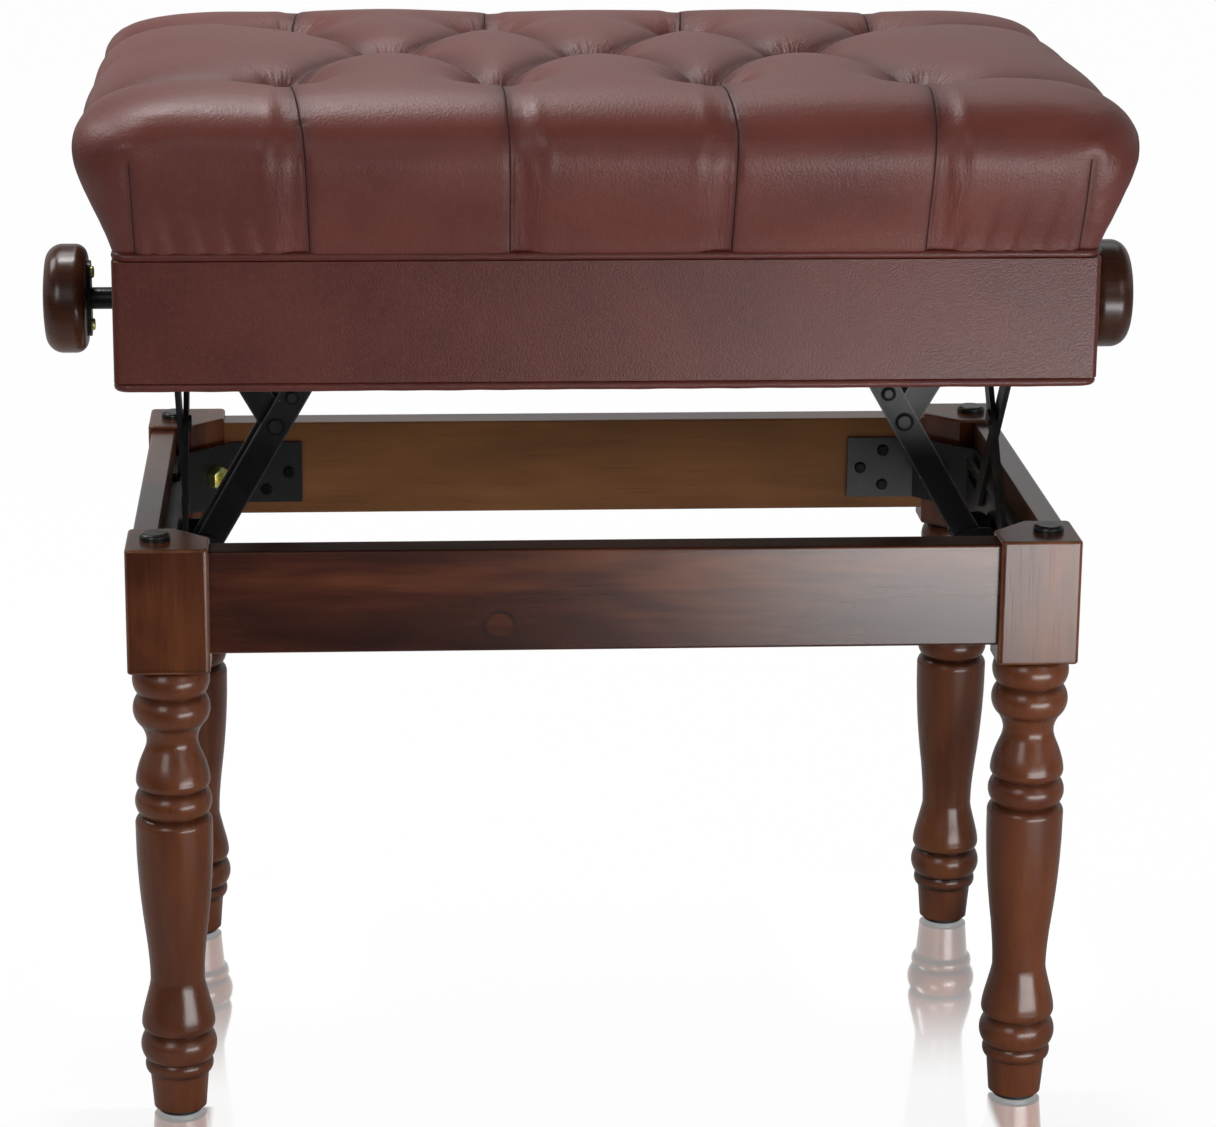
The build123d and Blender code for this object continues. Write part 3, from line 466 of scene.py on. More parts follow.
# Finishes on the solid pieces
grooveHeights = [h * mm for h in (266.0, 249.0, 232.0, 194.0, 178.5, 49.0, 32.0, 25.0)]
cushionLeather = leatherFinish("cushionLeather", leatherLook, True)
skirtLook = dict(leatherLook, deep=(0.063, 0.0116, 0.0080), full=(0.082, 0.0166, 0.0114))
skirtLook.update(pebbleScale=950.0, pebble=0.6, roughness=0.37)
skirtLeather = leatherFinish("skirtLeather", skirtLook, False)
legWood = woodFinish("legWood", woodLook, 2, grooves=grooveHeights, blocks=True)
apronLook = dict(woodLook, dark=(0.018, 0.0036, 0.0017), brown=(0.040, 0.0086, 0.0032))
apronLook.update(red=(0.100, 0.0270, 0.0080), flameScale=11.0, dullTop=0.0)
apronLook.update(gloss=0.12, lacquer=0.80, lacquerRoughness=0.25)
frontKnot = (-0.0585, 0.2905, 0.0075)
frontWood = woodFinish("frontWood", dict(apronLook, dullTop=0.9), 0, knot=frontKnot, inside=True)
rearWood = woodFinish("rearWood", apronLook, 0, inside=True)
# painted shade: the inner faces of the side aprons get darker inside colours
sideLook = dict(apronLook, inside=(0.066, 0.0250, 0.0100), insideDark=(0.034, 0.0125, 0.0052))
sideWood = woodFinish("sideWood", sideLook, 1, inside=True)
knobLook = dict(woodLook, roughness=0.28, gloss=0.30, lacquer=0.3, lacquerRoughness=0.20)
knobWood = woodFinish("knobWood", knobLook, 0, shade=0.62)
boardWoodX = rawWoodFinish("boardWoodX", rawWoodLook, 0)
boardWoodY = rawWoodFinish("boardWoodY", rawWoodLook, 1)
blackSteel = steelFinish("blackSteel", steelLook)
screwHeadLook = dict(steelLook, paint=(0.003, 0.003, 0.0033), dust=(0.010, 0.010, 0.011), gloss=0.07)
screwSteel = steelFinish("screwSteel", screwHeadLook)
threadSteel = steelFinish("threadSteel", dict(steelLook, roughness=0.30))
rivetHeads = [(0.1826, 0.369246, 0.0046), (0.1728, 0.386220, 0.0034)]  # across, up, reach
armLine = ((0.2246, 0.2965), (0.1406, 0.441992), 0.008)
linkLine = ((0.1826, 0.369246), (0.2246, 0.441992), 0.008)
armSteel = steelFinish("armSteel", steelLook, armLine, rivetHeads)
linkSteel = steelFinish("linkSteel", steelLook, linkLine)
rivetLook = dict(steelLook, paint=(0.011, 0.011, 0.012), dust=(0.040, 0.040, 0.041))
rivetSteel = steelFinish("rivetSteel", rivetLook, heads=rivetHeads)
yellowZinc = zincFinish("yellowZinc", zincLook)
bumperRubber = bumperFinish("bumperRubber", bumperLook)
glidePlastic = bumperFinish("glidePlastic", dict(bumperLook, roughness=0.45))

dressing = {
    "walnut_wood": legWood,
    "bare_wood": boardWoodX,
    "oxblood_leather": skirtLeather,
    "padded_leather": cushionLeather,
    "black_steel": blackSteel,
    "yellow_zinc": yellowZinc,
    "black_rubber": bumperRubber,
    "black_plastic": glidePlastic,
}
ownFinish = {
    "front_apron": frontWood, "rear_apron": rearWood, "left_apron": sideWood, "right_apron": sideWood,
    "left_knob": knobWood, "right_knob": knobWood,
    "left_skirt_board": boardWoodY, "right_skirt_board": boardWoodY,
    "bracket_screws": screwSteel, "rail_screws": screwSteel, "seat_plate_screws": screwSteel,
    "left_arm_pins": rivetSteel, "right_arm_pins": rivetSteel, "base_pivot_pins": rivetSteel,
    **{f"{side}_arm_{end}": armSteel for side in ("left", "right") for end in ("front", "rear")},
    **{f"{side}_link_{end}": linkSteel for side in ("left", "right") for end in ("front", "rear")},
}
for part in frame["record"]["subparts"]:
    node = frame["nodes"][part["node"]]
    node.data.materials.clear()
    node.data.materials.append(ownFinish.get(part["node"], dressing[part["material_slot"]]))
print("finishes set on", len(frame["nodes"]), "solid pieces")


# Cushion: a crowned soft box, tufted in three staggered rows, blown up as cloth between the sewn points.
# All its measures are in millimetres.
cushionLook = {
    "halfX": 265.5, "halfY": 166.0, "bottom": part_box("seat_cushion")[0].z / mm,
    "levels": [  # height, width beyond the box, corner radius
        (0.0, -1.0, 10.0), (6.0, 0.6, 11.0), (14.0, 3.6, 13.0), (24.0, 8.0, 17.0), (36.0, 13.2, 23.0),
        (47.0, 17.4, 27.0), (56.0, 19.6, 31.0), (64.0, 19.6, 34.0), (72.0, 16.6, 36.0), (79.0, 10.6, 37.0),
        (84.5, 2.0, 38.0), (88.5, -9.0, 38.0), (91.5, -24.0, 38.0), (93.6, -46.0, 38.0),
        (95.0, -86.0, 36.0), (95.6, -130.0, 30.0),
    ],
    "pitch": 58.0, "row": 98.0,
    "topFrom": 545.0, "overEdge": 575.0,  # heights where the tufted top and the drawn sides begin
    "tuftDepth": 26.0, "tuftReach": 19.5, "pleatDepth": 13.5, "pleatBow": 5.0,
    "pleatWidth": {"top": 17.0, "front": 11.0, "end": 19.0},
    "firmness": {"top": 0.8, "front": 0.85, "end": 0.5},
    "shoulderX": (-163.0, -55.0, 66.0, 171.0), "footX": (-159.0, -53.0, 64.0, 169.0),
    "bandSide": (-1, 1, -1, 1),
    "cornerX": 254.0, "cornerTop": 556.0, "cornerFrom": 120.0,
    "puckers": [  # distance from the corner pleat, width, upper end
        (11.0, 3.0, 552.0), (24.0, 3.6, 548.0), (40.0, 3.0, 536.0), (55.0, 3.4, 541.0), (70.0, 3.0, 530.0),
    ],
    "gathers": 7, "gatherAt": 13.0,
    "voxel": 4.5, "pressure": 4.0, "quality": 4, "mass": 0.3, "frames": 18, "swell": 5.0,
}


def smoothRun(rows, steps):  # curve through the rows of numbers
    rows = np.array(rows, float)
    padded = np.vstack([2 * rows[0] - rows[1], rows, 2 * rows[-1] - rows[-2]])
    out = []
    for i in range(len(rows) - 1):
        a, b, c, d = padded[i : i + 4]
        square = 2 * a - 5 * b + 4 * c - d
        cube = 3 * b - a - 3 * c + d
        for t in np.linspace(0, 1, steps, endpoint=False):
            out.append(0.5 * (2 * b + (c - a) * t + square * t**2 + cube * t**3))
    return out + [rows[-1]]


def cornerRing(halfX, halfY, radius, height, count=9):
    ring = []
    for k, (sx, sy) in enumerate(((1, 1), (-1, 1), (-1, -1), (1, -1))):
        for a in np.linspace(0, math.pi / 2, count):
            turn = a + k * math.pi / 2
            x = sx * (halfX - radius) + radius * math.cos(turn)
            y = sy * (halfY - radius) + radius * math.sin(turn)
            ring.append((x, y, height))
    return ring


def loftRings(name, rings):
    count = len(rings[0])
    points = [p for ring in rings for p in ring]
    faces = [tuple(reversed(range(count)))]
    for i in range(len(rings) - 1):
        for j in range(count):
            k = (j + 1) % count
            faces.append((i * count + j, i * count + k, (i + 1) * count + k, (i + 1) * count + j))
    top = (len(rings) - 1) * count
    faces.append(tuple(range(top, top + count)))
    return meshOf(name, points, faces)


def readPoints(mesh, what="co"):
    flat = np.zeros(len(mesh.vertices) * 3, np.float32)
    mesh.vertices.foreach_get(what, flat)
    return flat.reshape(-1, 3).astype(float)


def writePoints(mesh, points):
    mesh.vertices.foreach_set("co", np.asarray(points, np.float32).ravel())
    mesh.update()


def step(value, start, end):  # smooth step from 0 to 1
    t = np.clip((value - start) / (end - start), 0, 1)
    return t * t * (3 - 2 * t)


def tuftPlaces(look):
    grid = [(i, j) for j in (-1, 0, 1) for i in range(-3, 4) if (i + j) % 2 == 0]
    return [(i * look["pitch"], j * look["row"]) for i, j in grid]


# Every sewn line: signed distance to it, its depth, and the place along it. That runs from 0 to 1 on the
# pleats between tufts, and in millimetres from the last tuft on those that go over the edge.
def sewnLines(p, look):
    x, y, z = p.T
    pitch, row = look["pitch"], look["row"]
    lines = []
    for i in (-2, 0, 2):
        for di in (-1, 1):
            for dj in (-1, 1):
                a = np.array((i * pitch, 0.0))
                b = np.array(((i + di) * pitch, dj * row))
                run = b - a
                reached = (x - a[0]) * run[0] + (y - a[1]) * run[1]
                t = np.clip(reached / (run @ run), 0, 1)
                bend = look["pleatBow"] * np.sin(math.pi * t) * di * dj
                nx, ny = -run[1], run[0]
                length = math.hypot(nx, ny)
                off = ((x - a[0] - run[0] * t) * nx + (y - a[1] - run[1] * t) * ny) / length + bend
                beyond = np.abs(reached - np.clip(reached, 0, run @ run)) / length
                away = np.sign(off) * np.hypot(off, beyond)
                depth = look["pleatDepth"] * (0.62 + 0.5 * (2 * t - 1) ** 2) * (np.abs(z - 560) < 60)
                lines.append({"kind": "top", "away": away, "depth": depth, "t": t})
    for end in (-1, 1):
        for k in range(4):
            out = end * y - row
            run = out + np.clip(look["overEdge"] - z, 0, None) * (out > 0)
            places = [(2 * k - 3) * pitch, look["shoulderX"][k], look["footX"][k]]
            centre = np.interp(run, [0, 90, 165], places)
            away = (x - centre) * look["bandSide"][k]
            away = np.where(run < 0, np.sign(away) * np.hypot(away, run), away)
            depth = np.interp(run, [0, 12, 28, 60, 110], [1.1, 0.6, 0.2, 0.07, 0.0]) * look["pleatDepth"]
            lines.append({"kind": "front", "away": away, "depth": depth, "t": run, "end": end})
    for end in (-1, 1):
        for side in (-1, 1):
            out = end * x - 3 * pitch
            run = out + np.clip(look["overEdge"] - z, 0, None) * (out > 0)
            centre = side * np.interp(run, [0, 110, 190], [row, row + 6, row + 2])
            away = (y - centre) * side
            away = np.where(run < 0, np.sign(away) * np.hypot(away, run), away)
            depth = np.interp(run, [0, 40, 110, 190], [1.0, 0.55, 0.24, 0.16]) * look["pleatDepth"]
            lines.append({"kind": "end", "away": away, "depth": depth, "t": run})
    return lines


# How far the stuffing is drawn in around the tufts and along the pleats
def broadDepth(p, look):
    x, y, z = p.T
    total = np.zeros(len(p))
    for tx, ty in tuftPlaces(look):
        r = np.hypot(x - tx, y - ty)
        dip = np.exp(-((r / look["tuftReach"]) ** 1.4))
        total += (look["tuftDepth"] * dip * (z > look["topFrom"])) ** 3
    for line in sewnLines(p, look):
        width = look["pleatWidth"][line["kind"]]
        total += (line["depth"] * np.exp(-np.abs(line["away"]) / width)) ** 3
    return total ** (1 / 3) * step(z, 499.0, 512.0)


# Where the cloth is held while it is blown up: at the foot, the tufts and the sewn lines
def heldWeights(p, look):
    x, y, z = p.T
    held = 1 - step(z, 500.0, 508.0)
    for tx, ty in tuftPlaces(look):
        near = 1 - step(np.hypot(x - tx, y - ty), 5.0, 10.0)
        held = np.maximum(held, near * (z > look["topFrom"]))
    for line in sewnLines(p, look):
        firm = look["firmness"][line["kind"]]
        held = np.maximum(held, firm * (1 - step(np.abs(line["away"]), 2.0, 7.0)) * (line["t"] > -1))
    return held


def blowUp(piece, held, look):
    start = readPoints(piece.data)
    group = piece.vertex_groups.new(name="held")
    for i in np.nonzero(held > 0.02)[0]:
        group.add([int(i)], float(held[i]), "REPLACE")
    cloth = piece.modifiers.new("blowUp", "CLOTH")
    cloth.settings.quality = look["quality"]
    cloth.settings.mass = look["mass"]
    cloth.settings.use_pressure = True
    cloth.settings.uniform_pressure_force = look["pressure"]
    cloth.settings.vertex_group_mass = "held"
    cloth.settings.effector_weights.gravity = 0.0
    cloth.collision_settings.use_collision = False
    cloth.point_cache.frame_start = 1
    cloth.point_cache.frame_end = look["frames"]
    scene = bpy.context.scene
    for number in range(1, look["frames"] + 1):
        scene.frame_set(number)
    done = piece.evaluated_get(bpy.context.evaluated_depsgraph_get())
    moved = readPoints(done.data) - start
    scene.frame_set(1)
    piece.modifiers.clear()
    piece.vertex_groups.clear()
    size = np.linalg.norm(moved, axis=1)
    cap = look["swell"] * mm
    eased = cap * np.tanh(size / cap) / np.maximum(size, 1e-9)
    # the drawn sides stay flat
    eased *= np.interp(start[:, 2] / mm, [500.0, 512.0, look["topFrom"], 572.0], [0.0, 0.25, 0.4, 1.0])
    writePoints(piece.data, start + moved * eased[:, None])
    print("cushion blown up, largest move", round(float(size.max()) / mm, 1), "mm")


farAway = 1e3


# Sharp folds and small wrinkles, added on the fine mesh
def fineFolds(p, look):
    x, y, z = p.T
    count = len(p)
    onTop = z > look["topFrom"]
    made = {name: np.zeros(count) for name in ("depth", "signed", "shade", "show")}
    made["nearest"] = np.full(count, farAway)
    made["lap"] = np.full(count, farAway)

    def addLine(away, live, reach, show):
        made["shade"] = np.maximum(made["shade"], live * np.exp(-np.abs(away) / reach))
        closer = (np.abs(away) < made["nearest"]) & (live > 0.3)
        made["show"] = np.where(closer, show, made["show"])
        made["nearest"] = np.where(closer, np.abs(away), made["nearest"])
        made["signed"] = np.where(closer, away, made["signed"])

    for line in sewnLines(p, look):
        away = line["away"]
        t = line["t"]
        if line["kind"] == "front":
            live = step(t, -4.0, 6.0)
            face = step(t, 45.0, 100.0)
            under = np.exp(np.minimum(away, 0) / 1.8) * (away <= 0) * 0.4
            lapped = under + (1 - step(away, 7.0, 13.0 + 8.0 * face)) * (away > 0)
            made["depth"] += live * (0.9 + 1.0 * face) * lapped
            uneven = 0.5 + 0.5 * np.sin(t / 21.0 + 2.1 * line["end"] + x.mean())
            ridge = np.exp(-(((away - 18.0 - 3.0 * np.sin(t / 15.0)) / 3.4) ** 2))
            made["depth"] -= live * face * 0.8 * uneven * ridge
            made["lap"] = np.where(np.abs(away) < np.abs(made["lap"]), away, made["lap"])
            rise = 0.3 + 0.3 * np.sin(t / 17.0 + 2.0)
            ripple = np.sin(away / 2.3 + 1.4 * np.sin(t / 13.0) + line["end"]) * rise
            across = step(away, 1.0, 5.0) * (1 - step(away, 14.0, 24.0))
            made["depth"] += across * face * ripple * 0.8 * step(z, 499.0, 504.0)
            addLine(away, live * (t > -2), 5.0, 1.0)
        elif line["kind"] == "top":
            live = np.ones(count) * onTop
            made["depth"] += live * 2.6 * np.exp(-np.abs(away) / 3.0)
            addLine(away, live, 8.0, 0.4)
        else:
            live = step(t, -4.0, 6.0) * (1 - step(t, 60.0, 120.0))
            made["depth"] += live * 1.2 * np.exp(-np.abs(away) / 5.0)
            addLine(away, live, 7.0, 0.3)
    tuftX = np.zeros(count)
    tuftY = np.zeros(count)
    closest = np.full(count, farAway)
    for tx, ty in tuftPlaces(look):
        r = np.hypot(x - tx, y - ty)
        tuftX = np.where(r < closest, x - tx, tuftX)
        tuftY = np.where(r < closest, y - ty, tuftY)
        closest = np.minimum(closest, r)
    turn = np.arctan2(tuftY, tuftX)
    gather = np.sin(look["gathers"] * turn + 1.3 * np.sin(2 * turn + x / 60.0) + y / 40.0)
    gathered = 0.6 * gather * np.exp(-(((closest - look["gatherAt"]) / 8.0) ** 2))
    made["depth"] += (gathered + 3.0 * np.exp(-closest / 4.0)) * onTop
    made["shade"] = np.maximum(made["shade"], np.exp(-closest / 11.0) * onTop)
    for end in (-1, 1):  # sewn corner pleats, their small peaks and the puckers beside them
        for side in (-1, 1):
            away = (side * x - look["cornerX"]) + (look["cornerTop"] - z) * 0.02
            front = end * y > look["cornerFrom"]
            live = front * step(z, look["cornerTop"] + 4, look["cornerTop"] - 8)
            outer = np.exp(-np.maximum(away, 0) / 5.0) * (away > 0)
            inner = np.exp(np.minimum(away, 0) / 2.0) * (away <= 0)
            made["depth"] += live * 2.0 * (outer + inner)
            peak = np.exp(-((away / 12.0) ** 2) - ((z - look["cornerTop"] - 6) / 8.0) ** 2)
            made["depth"] -= front * 2.2 * peak
            addLine(away, live, 5.0, 0.9)
            for spot, reach, top in look["puckers"]:
                gap = side * x - (look["cornerX"] - spot) - (z - 500) * 0.24
                height = (1 - step(z, 506.0, top)) * step(z, 497.0, 503.0)
                made["depth"] += 1.2 * front * np.exp(-((gap / reach) ** 2)) * height
    swell = 0.5 * np.sin(x / 31.0 + 0.8 * np.sin(y / 27.0)) * np.sin(y / 37.0 + z / 23.0)
    made["depth"] += swell * step(z, 505.0, 520.0)
    made["tuftX"], made["tuftY"] = tuftX, tuftY
    return made


def bakedMesh(piece):  # the mesh with its modifiers applied
    return bpy.data.meshes.new_from_object(piece.evaluated_get(bpy.context.evaluated_depsgraph_get()))


def makeCushion(look):
    rings = []
    for height, out, radius in smoothRun(look["levels"], 3):
        ring = cornerRing(look["halfX"] + out, look["halfY"] + out, radius, look["bottom"] + height)
        rings.append([tuple(c * mm for c in p) for p in ring])
    coarse = loftRings("cushionCoarse", rings)
    maker = bpy.data.objects.new("cushionMaker", coarse)
    bpy.context.scene.collection.objects.link(maker)
    remesh = maker.modifiers.new("even", "REMESH")
    remesh.mode = "VOXEL"
    remesh.voxel_size = look["voxel"] * mm
    mesh = bakedMesh(maker)
    bpy.data.objects.remove(maker)
    piece = addPiece("tuftedCushion", mesh, cushionLeather, "seat")
    points = readPoints(mesh) / mm
    normals = readPoints(mesh, "normal")
    points = points - normals * broadDepth(points, look)[:, None]
    writePoints(mesh, points * mm)
    blowUp(piece, heldWeights(readPoints(mesh) / mm, look), look)
    finer = piece.modifiers.new("finer", "SUBSURF")
    finer.levels = finer.render_levels = 1
    fine = bakedMesh(piece)
    piece.modifiers.clear()
    piece.data = fine
    points = readPoints(fine) / mm
    normals = readPoints(fine, "normal")
    made = fineFolds(points, look)
    writePoints(fine, (points - normals * made["depth"][:, None]) * mm)
    shade = made["shade"]
    onTop = step(points[:, 2], 548.0, 562.0)
    tuftAway = np.hypot(made["tuftX"], made["tuftY"])
    layers = {
        "foldLine": made["signed"] * mm,
        "foldNear": made["show"] * (1 - step(made["nearest"], 4.0, 9.0)),
        # painted shade near the folds and tufts, which darkens the valleys
        "foldDepth": shade,
        # upward faces away from the folds, for rubbed wear and painted top light
        "rub": step(normals[:, 2], 0.15, 0.75) * (1 - np.clip(shade * 1.6, 0, 1)),
        "bandLine": made["lap"] * mm,
        "bandNear": (1 - onTop) * (1 - step(np.abs(made["lap"]), 20.0, 26.0)),
        "tuftX": made["tuftX"] * mm, "tuftY": made["tuftY"] * mm,
        "tuftNear": onTop * (1 - step(tuftAway, 34.0, 46.0)),
    }
    for name, values in layers.items():
        layer = fine.attributes.new(name, "FLOAT", "POINT")
        layer.data.foreach_set("value", np.asarray(values, np.float32))
    fine.polygons.foreach_set("use_smooth", [True] * len(fine.polygons))
    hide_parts("seat_cushion")
    print("cushion made,", len(fine.vertices), "points")


makeCushion(cushionLook)


# Piping: a leather cord sewn along both edges of the seat box, never quite even, in millimetres
pipingLook = {
    "radius": 2.6, "halfX": 263.3, "halfY": 163.8, "corner": 7.0, "heights": (498.9, 427.9),
    "wander": 0.09, "waves": (17, 31, 53), "pinch": 0.035, "pinchLength": 4.1,
    "spacing": 6.0, "sides": 12, "seed": 5,
}


def makePiping(look):
    rng = np.random.default_rng(look["seed"])
    faces = []
    points = []
    sides = look["sides"]
    upward = np.array((0, 0, 1))
    for height in look["heights"]:
        ring = np.array(cornerRing(look["halfX"], look["halfY"], look["corner"], height, 7))
        path = []
        for a, b in zip(ring, np.roll(ring, -1, axis=0)):
            count = max(1, int(np.linalg.norm(b - a) / look["spacing"]))
            path += [a + (b - a) * i / count for i in range(count)]
        path = np.array(path)
        phase = rng.uniform(0, 6.28, 3)
        run = np.cumsum(np.linalg.norm(path - np.roll(path, 1, axis=0), axis=1))
        total = run[-1]
        waves = [np.sin(2 * math.pi * n * run / total + f) for n, f in zip(look["waves"], phase)]
        path[:, 2] += sum(waves) * look["wander"] * 0.5
        ahead = np.roll(path, -1, axis=0) - np.roll(path, 1, axis=0)
        ahead /= np.linalg.norm(ahead, axis=1)[:, None]
        out = np.cross(ahead, upward)
        out /= np.linalg.norm(out, axis=1)[:, None]
        base = len(points)
        for i, p in enumerate(path):
            pinch = 1 + look["pinch"] * math.sin(run[i] / look["pinchLength"])
            for k in range(sides):
                turn = 2 * math.pi * k / sides
                sideways = out[i] * math.cos(turn) * look["radius"]
                points.append(tuple((p + sideways + upward * math.sin(turn) * look["radius"] * pinch) * mm))
        count = len(path)
        for i in range(count):
            here = base + i * sides
            there = base + (i + 1) % count * sides
            for k in range(sides):
                n = (k + 1) % sides
                faces.append((here + k, there + k, there + n, here + n))
    mesh = meshOf("skirtPiping", points, faces)
    piece = addPiece("skirtPiping", mesh, skirtLeather, "seat")
    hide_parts("skirt_piping")
    print("piping made")


makePiping(pipingLook)


# Lead screw: a black rod, cut with opposite threads where the nuts run, in millimetres
screwLook = {
    "radius": 6.3, "threadFrom": 52.0, "threadTo": 222.0, "pitch": 4.0, "depth": 1.3, "runOut": 3.0,
    "bevel": 0.6, "sides": 36, "steps": 8, "crispAngle": 40,
}


def threadedRod(stations, sides, radiusAt):
    points = []
    faces = []
    for s in stations:
        for k in range(sides):
            turn = 2 * math.pi * k / sides
            r = radiusAt(s, turn)
            points.append((s, r * math.cos(turn), r * math.sin(turn)))
    for i in range(len(stations) - 1):
        for k in range(sides):
            n = (k + 1) % sides
            faces.append((i * sides + k, i * sides + n, (i + 1) * sides + n, (i + 1) * sides + k))
    last = (len(stations) - 1) * sides
    faces.append(tuple(reversed(range(sides))))
    faces.append(tuple(range(last, last + sides)))
    return points, faces


def makeLeadScrew(look):
    low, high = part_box("lead_screw")
    end = high.x / mm
    height = (low.z + high.z) / 2 / mm
    cut = np.arange(look["threadFrom"], look["threadTo"] + 0.01, look["pitch"] / look["steps"])
    plain = [look["threadTo"] + 1.0, 240.0, 260.0, end - look["bevel"], end]
    half = np.concatenate([[20.0, 40.0], cut, plain])
    stations = np.concatenate([-half[::-1], [0.0], half])

    def radiusAt(s, turn):
        away = abs(s)
        if away > end - look["bevel"] / 2:
            return look["radius"] - look["bevel"]
        if not look["threadFrom"] <= away <= look["threadTo"]:
            return look["radius"]
        phase = (away / look["pitch"] - turn / (2 * math.pi)) % 1.0
        tooth = min(1.0, max(0.0, (abs(phase - 0.5) * 4 - 0.5)))
        left = min(away - look["threadFrom"], look["threadTo"] - away)
        ease = min(1.0, left / look["runOut"])
        return look["radius"] - look["depth"] * tooth * ease

    points, faces = threadedRod(stations, look["sides"], radiusAt)
    points = [(x * mm, y * mm, (z + height) * mm) for x, y, z in points]
    mesh = meshOf("leadScrew", points, faces)
    piece = addPiece("leadScrew", mesh, threadSteel, "drive")
    piece.modifiers.new("crisp", "EDGE_SPLIT").split_angle = math.radians(look["crispAngle"])
    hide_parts("lead_screw")
    print("lead screw made")


makeLeadScrew(screwLook)


# Corner nuts: chamfered hexagons on the hanger bolts, in millimetres
nutLook = {
    "across": 13.0, "height": 6.5, "bore": 3.9, "chamfer": 0.55, "seat": 6.5, "centre": (227.0, 127.0, 303.0),
    "washerFace": 0.97, "topFace": 0.95, "sides": 72, "crispAngle": 28,
}


def makeNuts(look):
    points = []
    faces = []
    flat, tall, bore = look["across"] / 2, look["height"], look["bore"]
    faced = flat * look["washerFace"]
    count = look["sides"]
    up = Vector((0, 0, 1))
    for sx in (-1, 1):
        for sy in (-1, 1):
            inward = Vector((-sx, -sy, 0)).normalized()
            side = inward.cross(up)
            middle = Vector((sx * look["centre"][0], sy * look["centre"][1], look["centre"][2]))
            base = len(points)
            for level in range(6):
                for k in range(count):
                    turn = 2 * math.pi * k / count
                    hexagon = flat / math.cos((turn + math.pi / 6) % (math.pi / 3) - math.pi / 6)
                    drop = max(0.0, hexagon - faced) * look["chamfer"]
                    reach, height = (
                        (bore, 0.0), (faced, 0.0), (hexagon, drop),
                        (hexagon, tall - drop), (flat * look["topFace"], tall), (bore, tall),
                    )[level]
                    outward = side * (reach * math.cos(turn)) + up * (reach * math.sin(turn))
                    points.append(tuple((middle + inward * (look["seat"] + height) + outward) * mm))
            for level in range(5):
                low = base + level * count
                high = low + count
                for k in range(count):
                    n = (k + 1) % count
                    faces.append((low + k, low + n, high + n, high + k))
    mesh = meshOf("cornerNuts", points, faces)
    bm = bmesh.new()
    bm.from_mesh(mesh)
    bmesh.ops.recalc_face_normals(bm, faces=bm.faces)
    bm.to_mesh(mesh)
    bm.free()
    piece = addPiece("cornerNuts", mesh, yellowZinc, "base")
    piece.modifiers.new("crisp", "EDGE_SPLIT").split_angle = math.radians(look["crispAngle"])
    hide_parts("bolt_nuts")
    print("corner nuts made")


makeNuts(nutLook)


# Stage: pale floor, white surround, soft lamps, and the camera of the photograph
stageLook = {
    "floorHalf": 9, "floor": (0.86, 0.86, 0.86), "floorRoughness": 0.4, "floorGloss": 0.3, "lift": 0.97,
    "mirror": 0.74, "mirrorColour": (2.45, 2.45, 2.45, 1), "mirrorRoughness": 0.05, "leastMirror": 0.08,
    "dullFloor": 0.5, "shadedFloor": 0.45, "cloth": 0.02,
    "white": (1, 1, 1, 1), "ambient": 0.31, "mirrored": 0.08, "sheet": 0.40,
    "lamps": [  # name, place, aim, size, watts
        ("overhead", (-0.36, 0.24, 1.7), (-0.22, -0.10, 0.5), (0.42, 0.16), 6.0),
        ("rearTop", (-0.40, 0.9, 2.3), (-0.05, 0.05, 0.5), (1.3, 0.6), 11.0),
        ("leftTop", (-1.5, 0.45, 1.9), (0.0, 0.0, 0.5), (0.8, 0.8), 13.0),
        ("frontLeft", (-1.5, -2.8, 1.7), (0, 0, 0.35), (1.2, 1.2), 20.0),
        ("frontRight", (1.7, -2.4, 1.5), (0, 0, 0.35), (1.2, 1.2), 6.5),
        ("lowRight", (0.58, -0.95, 0.12), (0.18, -0.15, 0.23), (0.85, 0.22), 7.0),
        ("rear", (0.6, 2.2, 2.6), (0, 0, 0.4), (2.0, 1.2), 8.0),
    ],
    "cameraPlace": (-0.13925, -2.21441, 0.91492),
    "cameraTurn": (-15.95, -0.51, -3.89),  # tilt, roll, heading in degrees
    "focal": 3911.89, "pictureWidth": 1216,  # both in pixels of the photograph
    "sensor": 36.0, "clip": (0.05, 60.0),
}


def turnMatrix(tilt, roll, heading):
    return Matrix.Rotation(heading, 3, "Z") @ Matrix.Rotation(tilt, 3, "X") @ Matrix.Rotation(roll, 3, "Y")


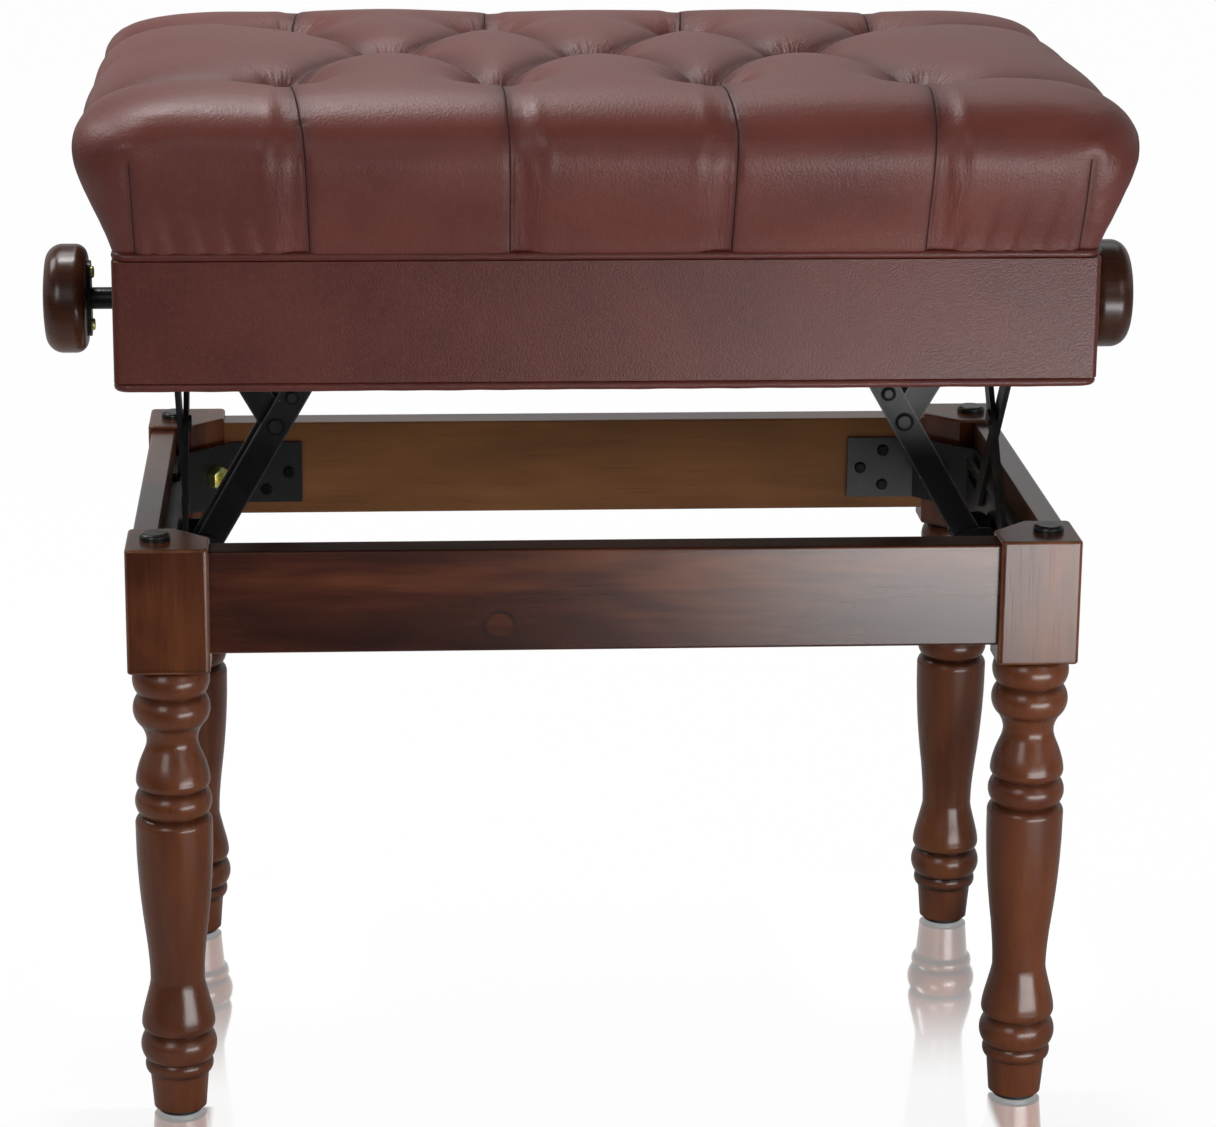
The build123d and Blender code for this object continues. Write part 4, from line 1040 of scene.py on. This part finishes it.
def makeStage(look):
    scene = bpy.context.scene
    scene.view_settings.view_transform = "Standard"
    world = bpy.data.worlds.new("studio")
    scene.world = world
    world.use_nodes = True
    sky = NodeSet(world.node_tree)
    white = look["white"]
    _, y, z = sky.parts(sky.node("TexCoord"))
    # a white sheet hangs low behind the bench, and a narrow strip of it goes all the way round
    behind = y.ease(-0.1, 0.15) * z.ease(0.32, 0.62, 1.0, 0.0)
    around = z.ease(0.10, 0.16) * z.ease(0.36, 0.46, 1.0, 0.0)
    direct = sky.rays("camera").most(sky.rays("clear"))
    seen = direct.most(sky.rays("glossy") * behind.most(around) * look["sheet"])
    soft = sky.node("Background", None, {"Color": white, "Strength": look["ambient"]})
    dusk = sky.node("Background", None, {"Color": white, "Strength": look["mirrored"]})
    dim = sky.blend(sky.rays("glossy"), soft, dusk)
    bright = sky.node("Background", None, {"Color": white, "Strength": 1.0})
    sky.feed(sky.nodes["World Output"].inputs["Surface"], sky.blend(seen, dim, bright))

    half = look["floorHalf"]
    mesh = meshOf("floor", [(-half, -half, 0), (half, -half, 0), (half, half, 0), (-half, half, 0)], [(0, 1, 2, 3)])
    floor = bpy.data.objects.new("floor", mesh)
    scene.collection.objects.link(floor)
    finish = Finish("floorPale")
    finish.surface(
        Base_Color=look["floor"], Roughness=look["floorRoughness"], Specular_IOR_Level=look["floorGloss"],
    )
    x, y, _ = finish.parts(finish.point())
    glow = finish.node("Emission", None, {"Color": white, "Strength": 1.0})
    cloth = finish.node("Emission", None, {"Color": white, "Strength": look["cloth"]})
    gloss = {"Color": look["mirrorColour"], "Roughness": look["mirrorRoughness"]}
    polish = finish.node("BsdfAnisotropic", None, gloss)
    direct = finish.rays("camera").most(finish.rays("clear"))
    # in gloss the floor looks dark at the front left, as if a cloth lay there
    shaded = y.ease(-0.30, -0.65) * x.ease(-0.15, 0.45, 1.0, 0.0)
    lit = finish.blend(direct * look["lift"], Wire(finish, finish.shader.outputs[0]), glow)
    near = abs(x).ease(0.12, 0.17) * abs(x).ease(0.28, 0.34, 1.0, 0.0)
    rearFade = y.ease(-0.13, 0.04) * y.ease(0.17, 0.23, 1.0, 0.0)
    frontFade = y.ease(-0.41, -0.24) * y.ease(-0.142, -0.138, 1.0, 0.0) * abs(x).ease(0.220, 0.226)
    least = look["leastMirror"]
    fade = least + (1 - least) * near * rearFade.most(frontFade)  # the reflection of each foot dies away
    shone = finish.blend(finish.rays("camera") * fade * look["mirror"], lit, polish)
    dark = finish.rays("glossy") * (look["dullFloor"] + shaded * look["shadedFloor"])
    whole = finish.blend(dark, shone, cloth)
    finish.feed(finish.output.inputs["Surface"], whole)
    mesh.materials.append(finish.material)

    for name, place, aim, size, watts in look["lamps"]:
        lamp = bpy.data.lights.new(name, "AREA")
        lamp.shape = "RECTANGLE"
        lamp.size, lamp.size_y = size
        lamp.energy = watts
        stand = bpy.data.objects.new(name, lamp)
        stand.location = place
        stand.rotation_mode = "QUATERNION"
        stand.rotation_quaternion = (Vector(aim) - Vector(place)).to_track_quat("-Z", "Y")
        stand.visible_camera = False
        scene.collection.objects.link(stand)

    lens = bpy.data.cameras.new("camera")
    lens.sensor_width = look["sensor"]
    lens.lens = look["focal"] * look["sensor"] / look["pictureWidth"]
    lens.clip_start, lens.clip_end = look["clip"]
    eye = bpy.data.objects.new("camera", lens)
    tilt, roll, heading = [math.radians(v) for v in look["cameraTurn"]]
    axes = turnMatrix(tilt, roll, heading)
    right, ahead, above = axes.col[0], axes.col[1], axes.col[2]
    facing = Matrix((right, above, -ahead)).transposed()
    eye.matrix_world = Matrix.Translation(look["cameraPlace"]) @ facing.to_4x4()
    scene.collection.objects.link(eye)
    scene.camera = eye
    print("stage set")


makeStage(stageLook)
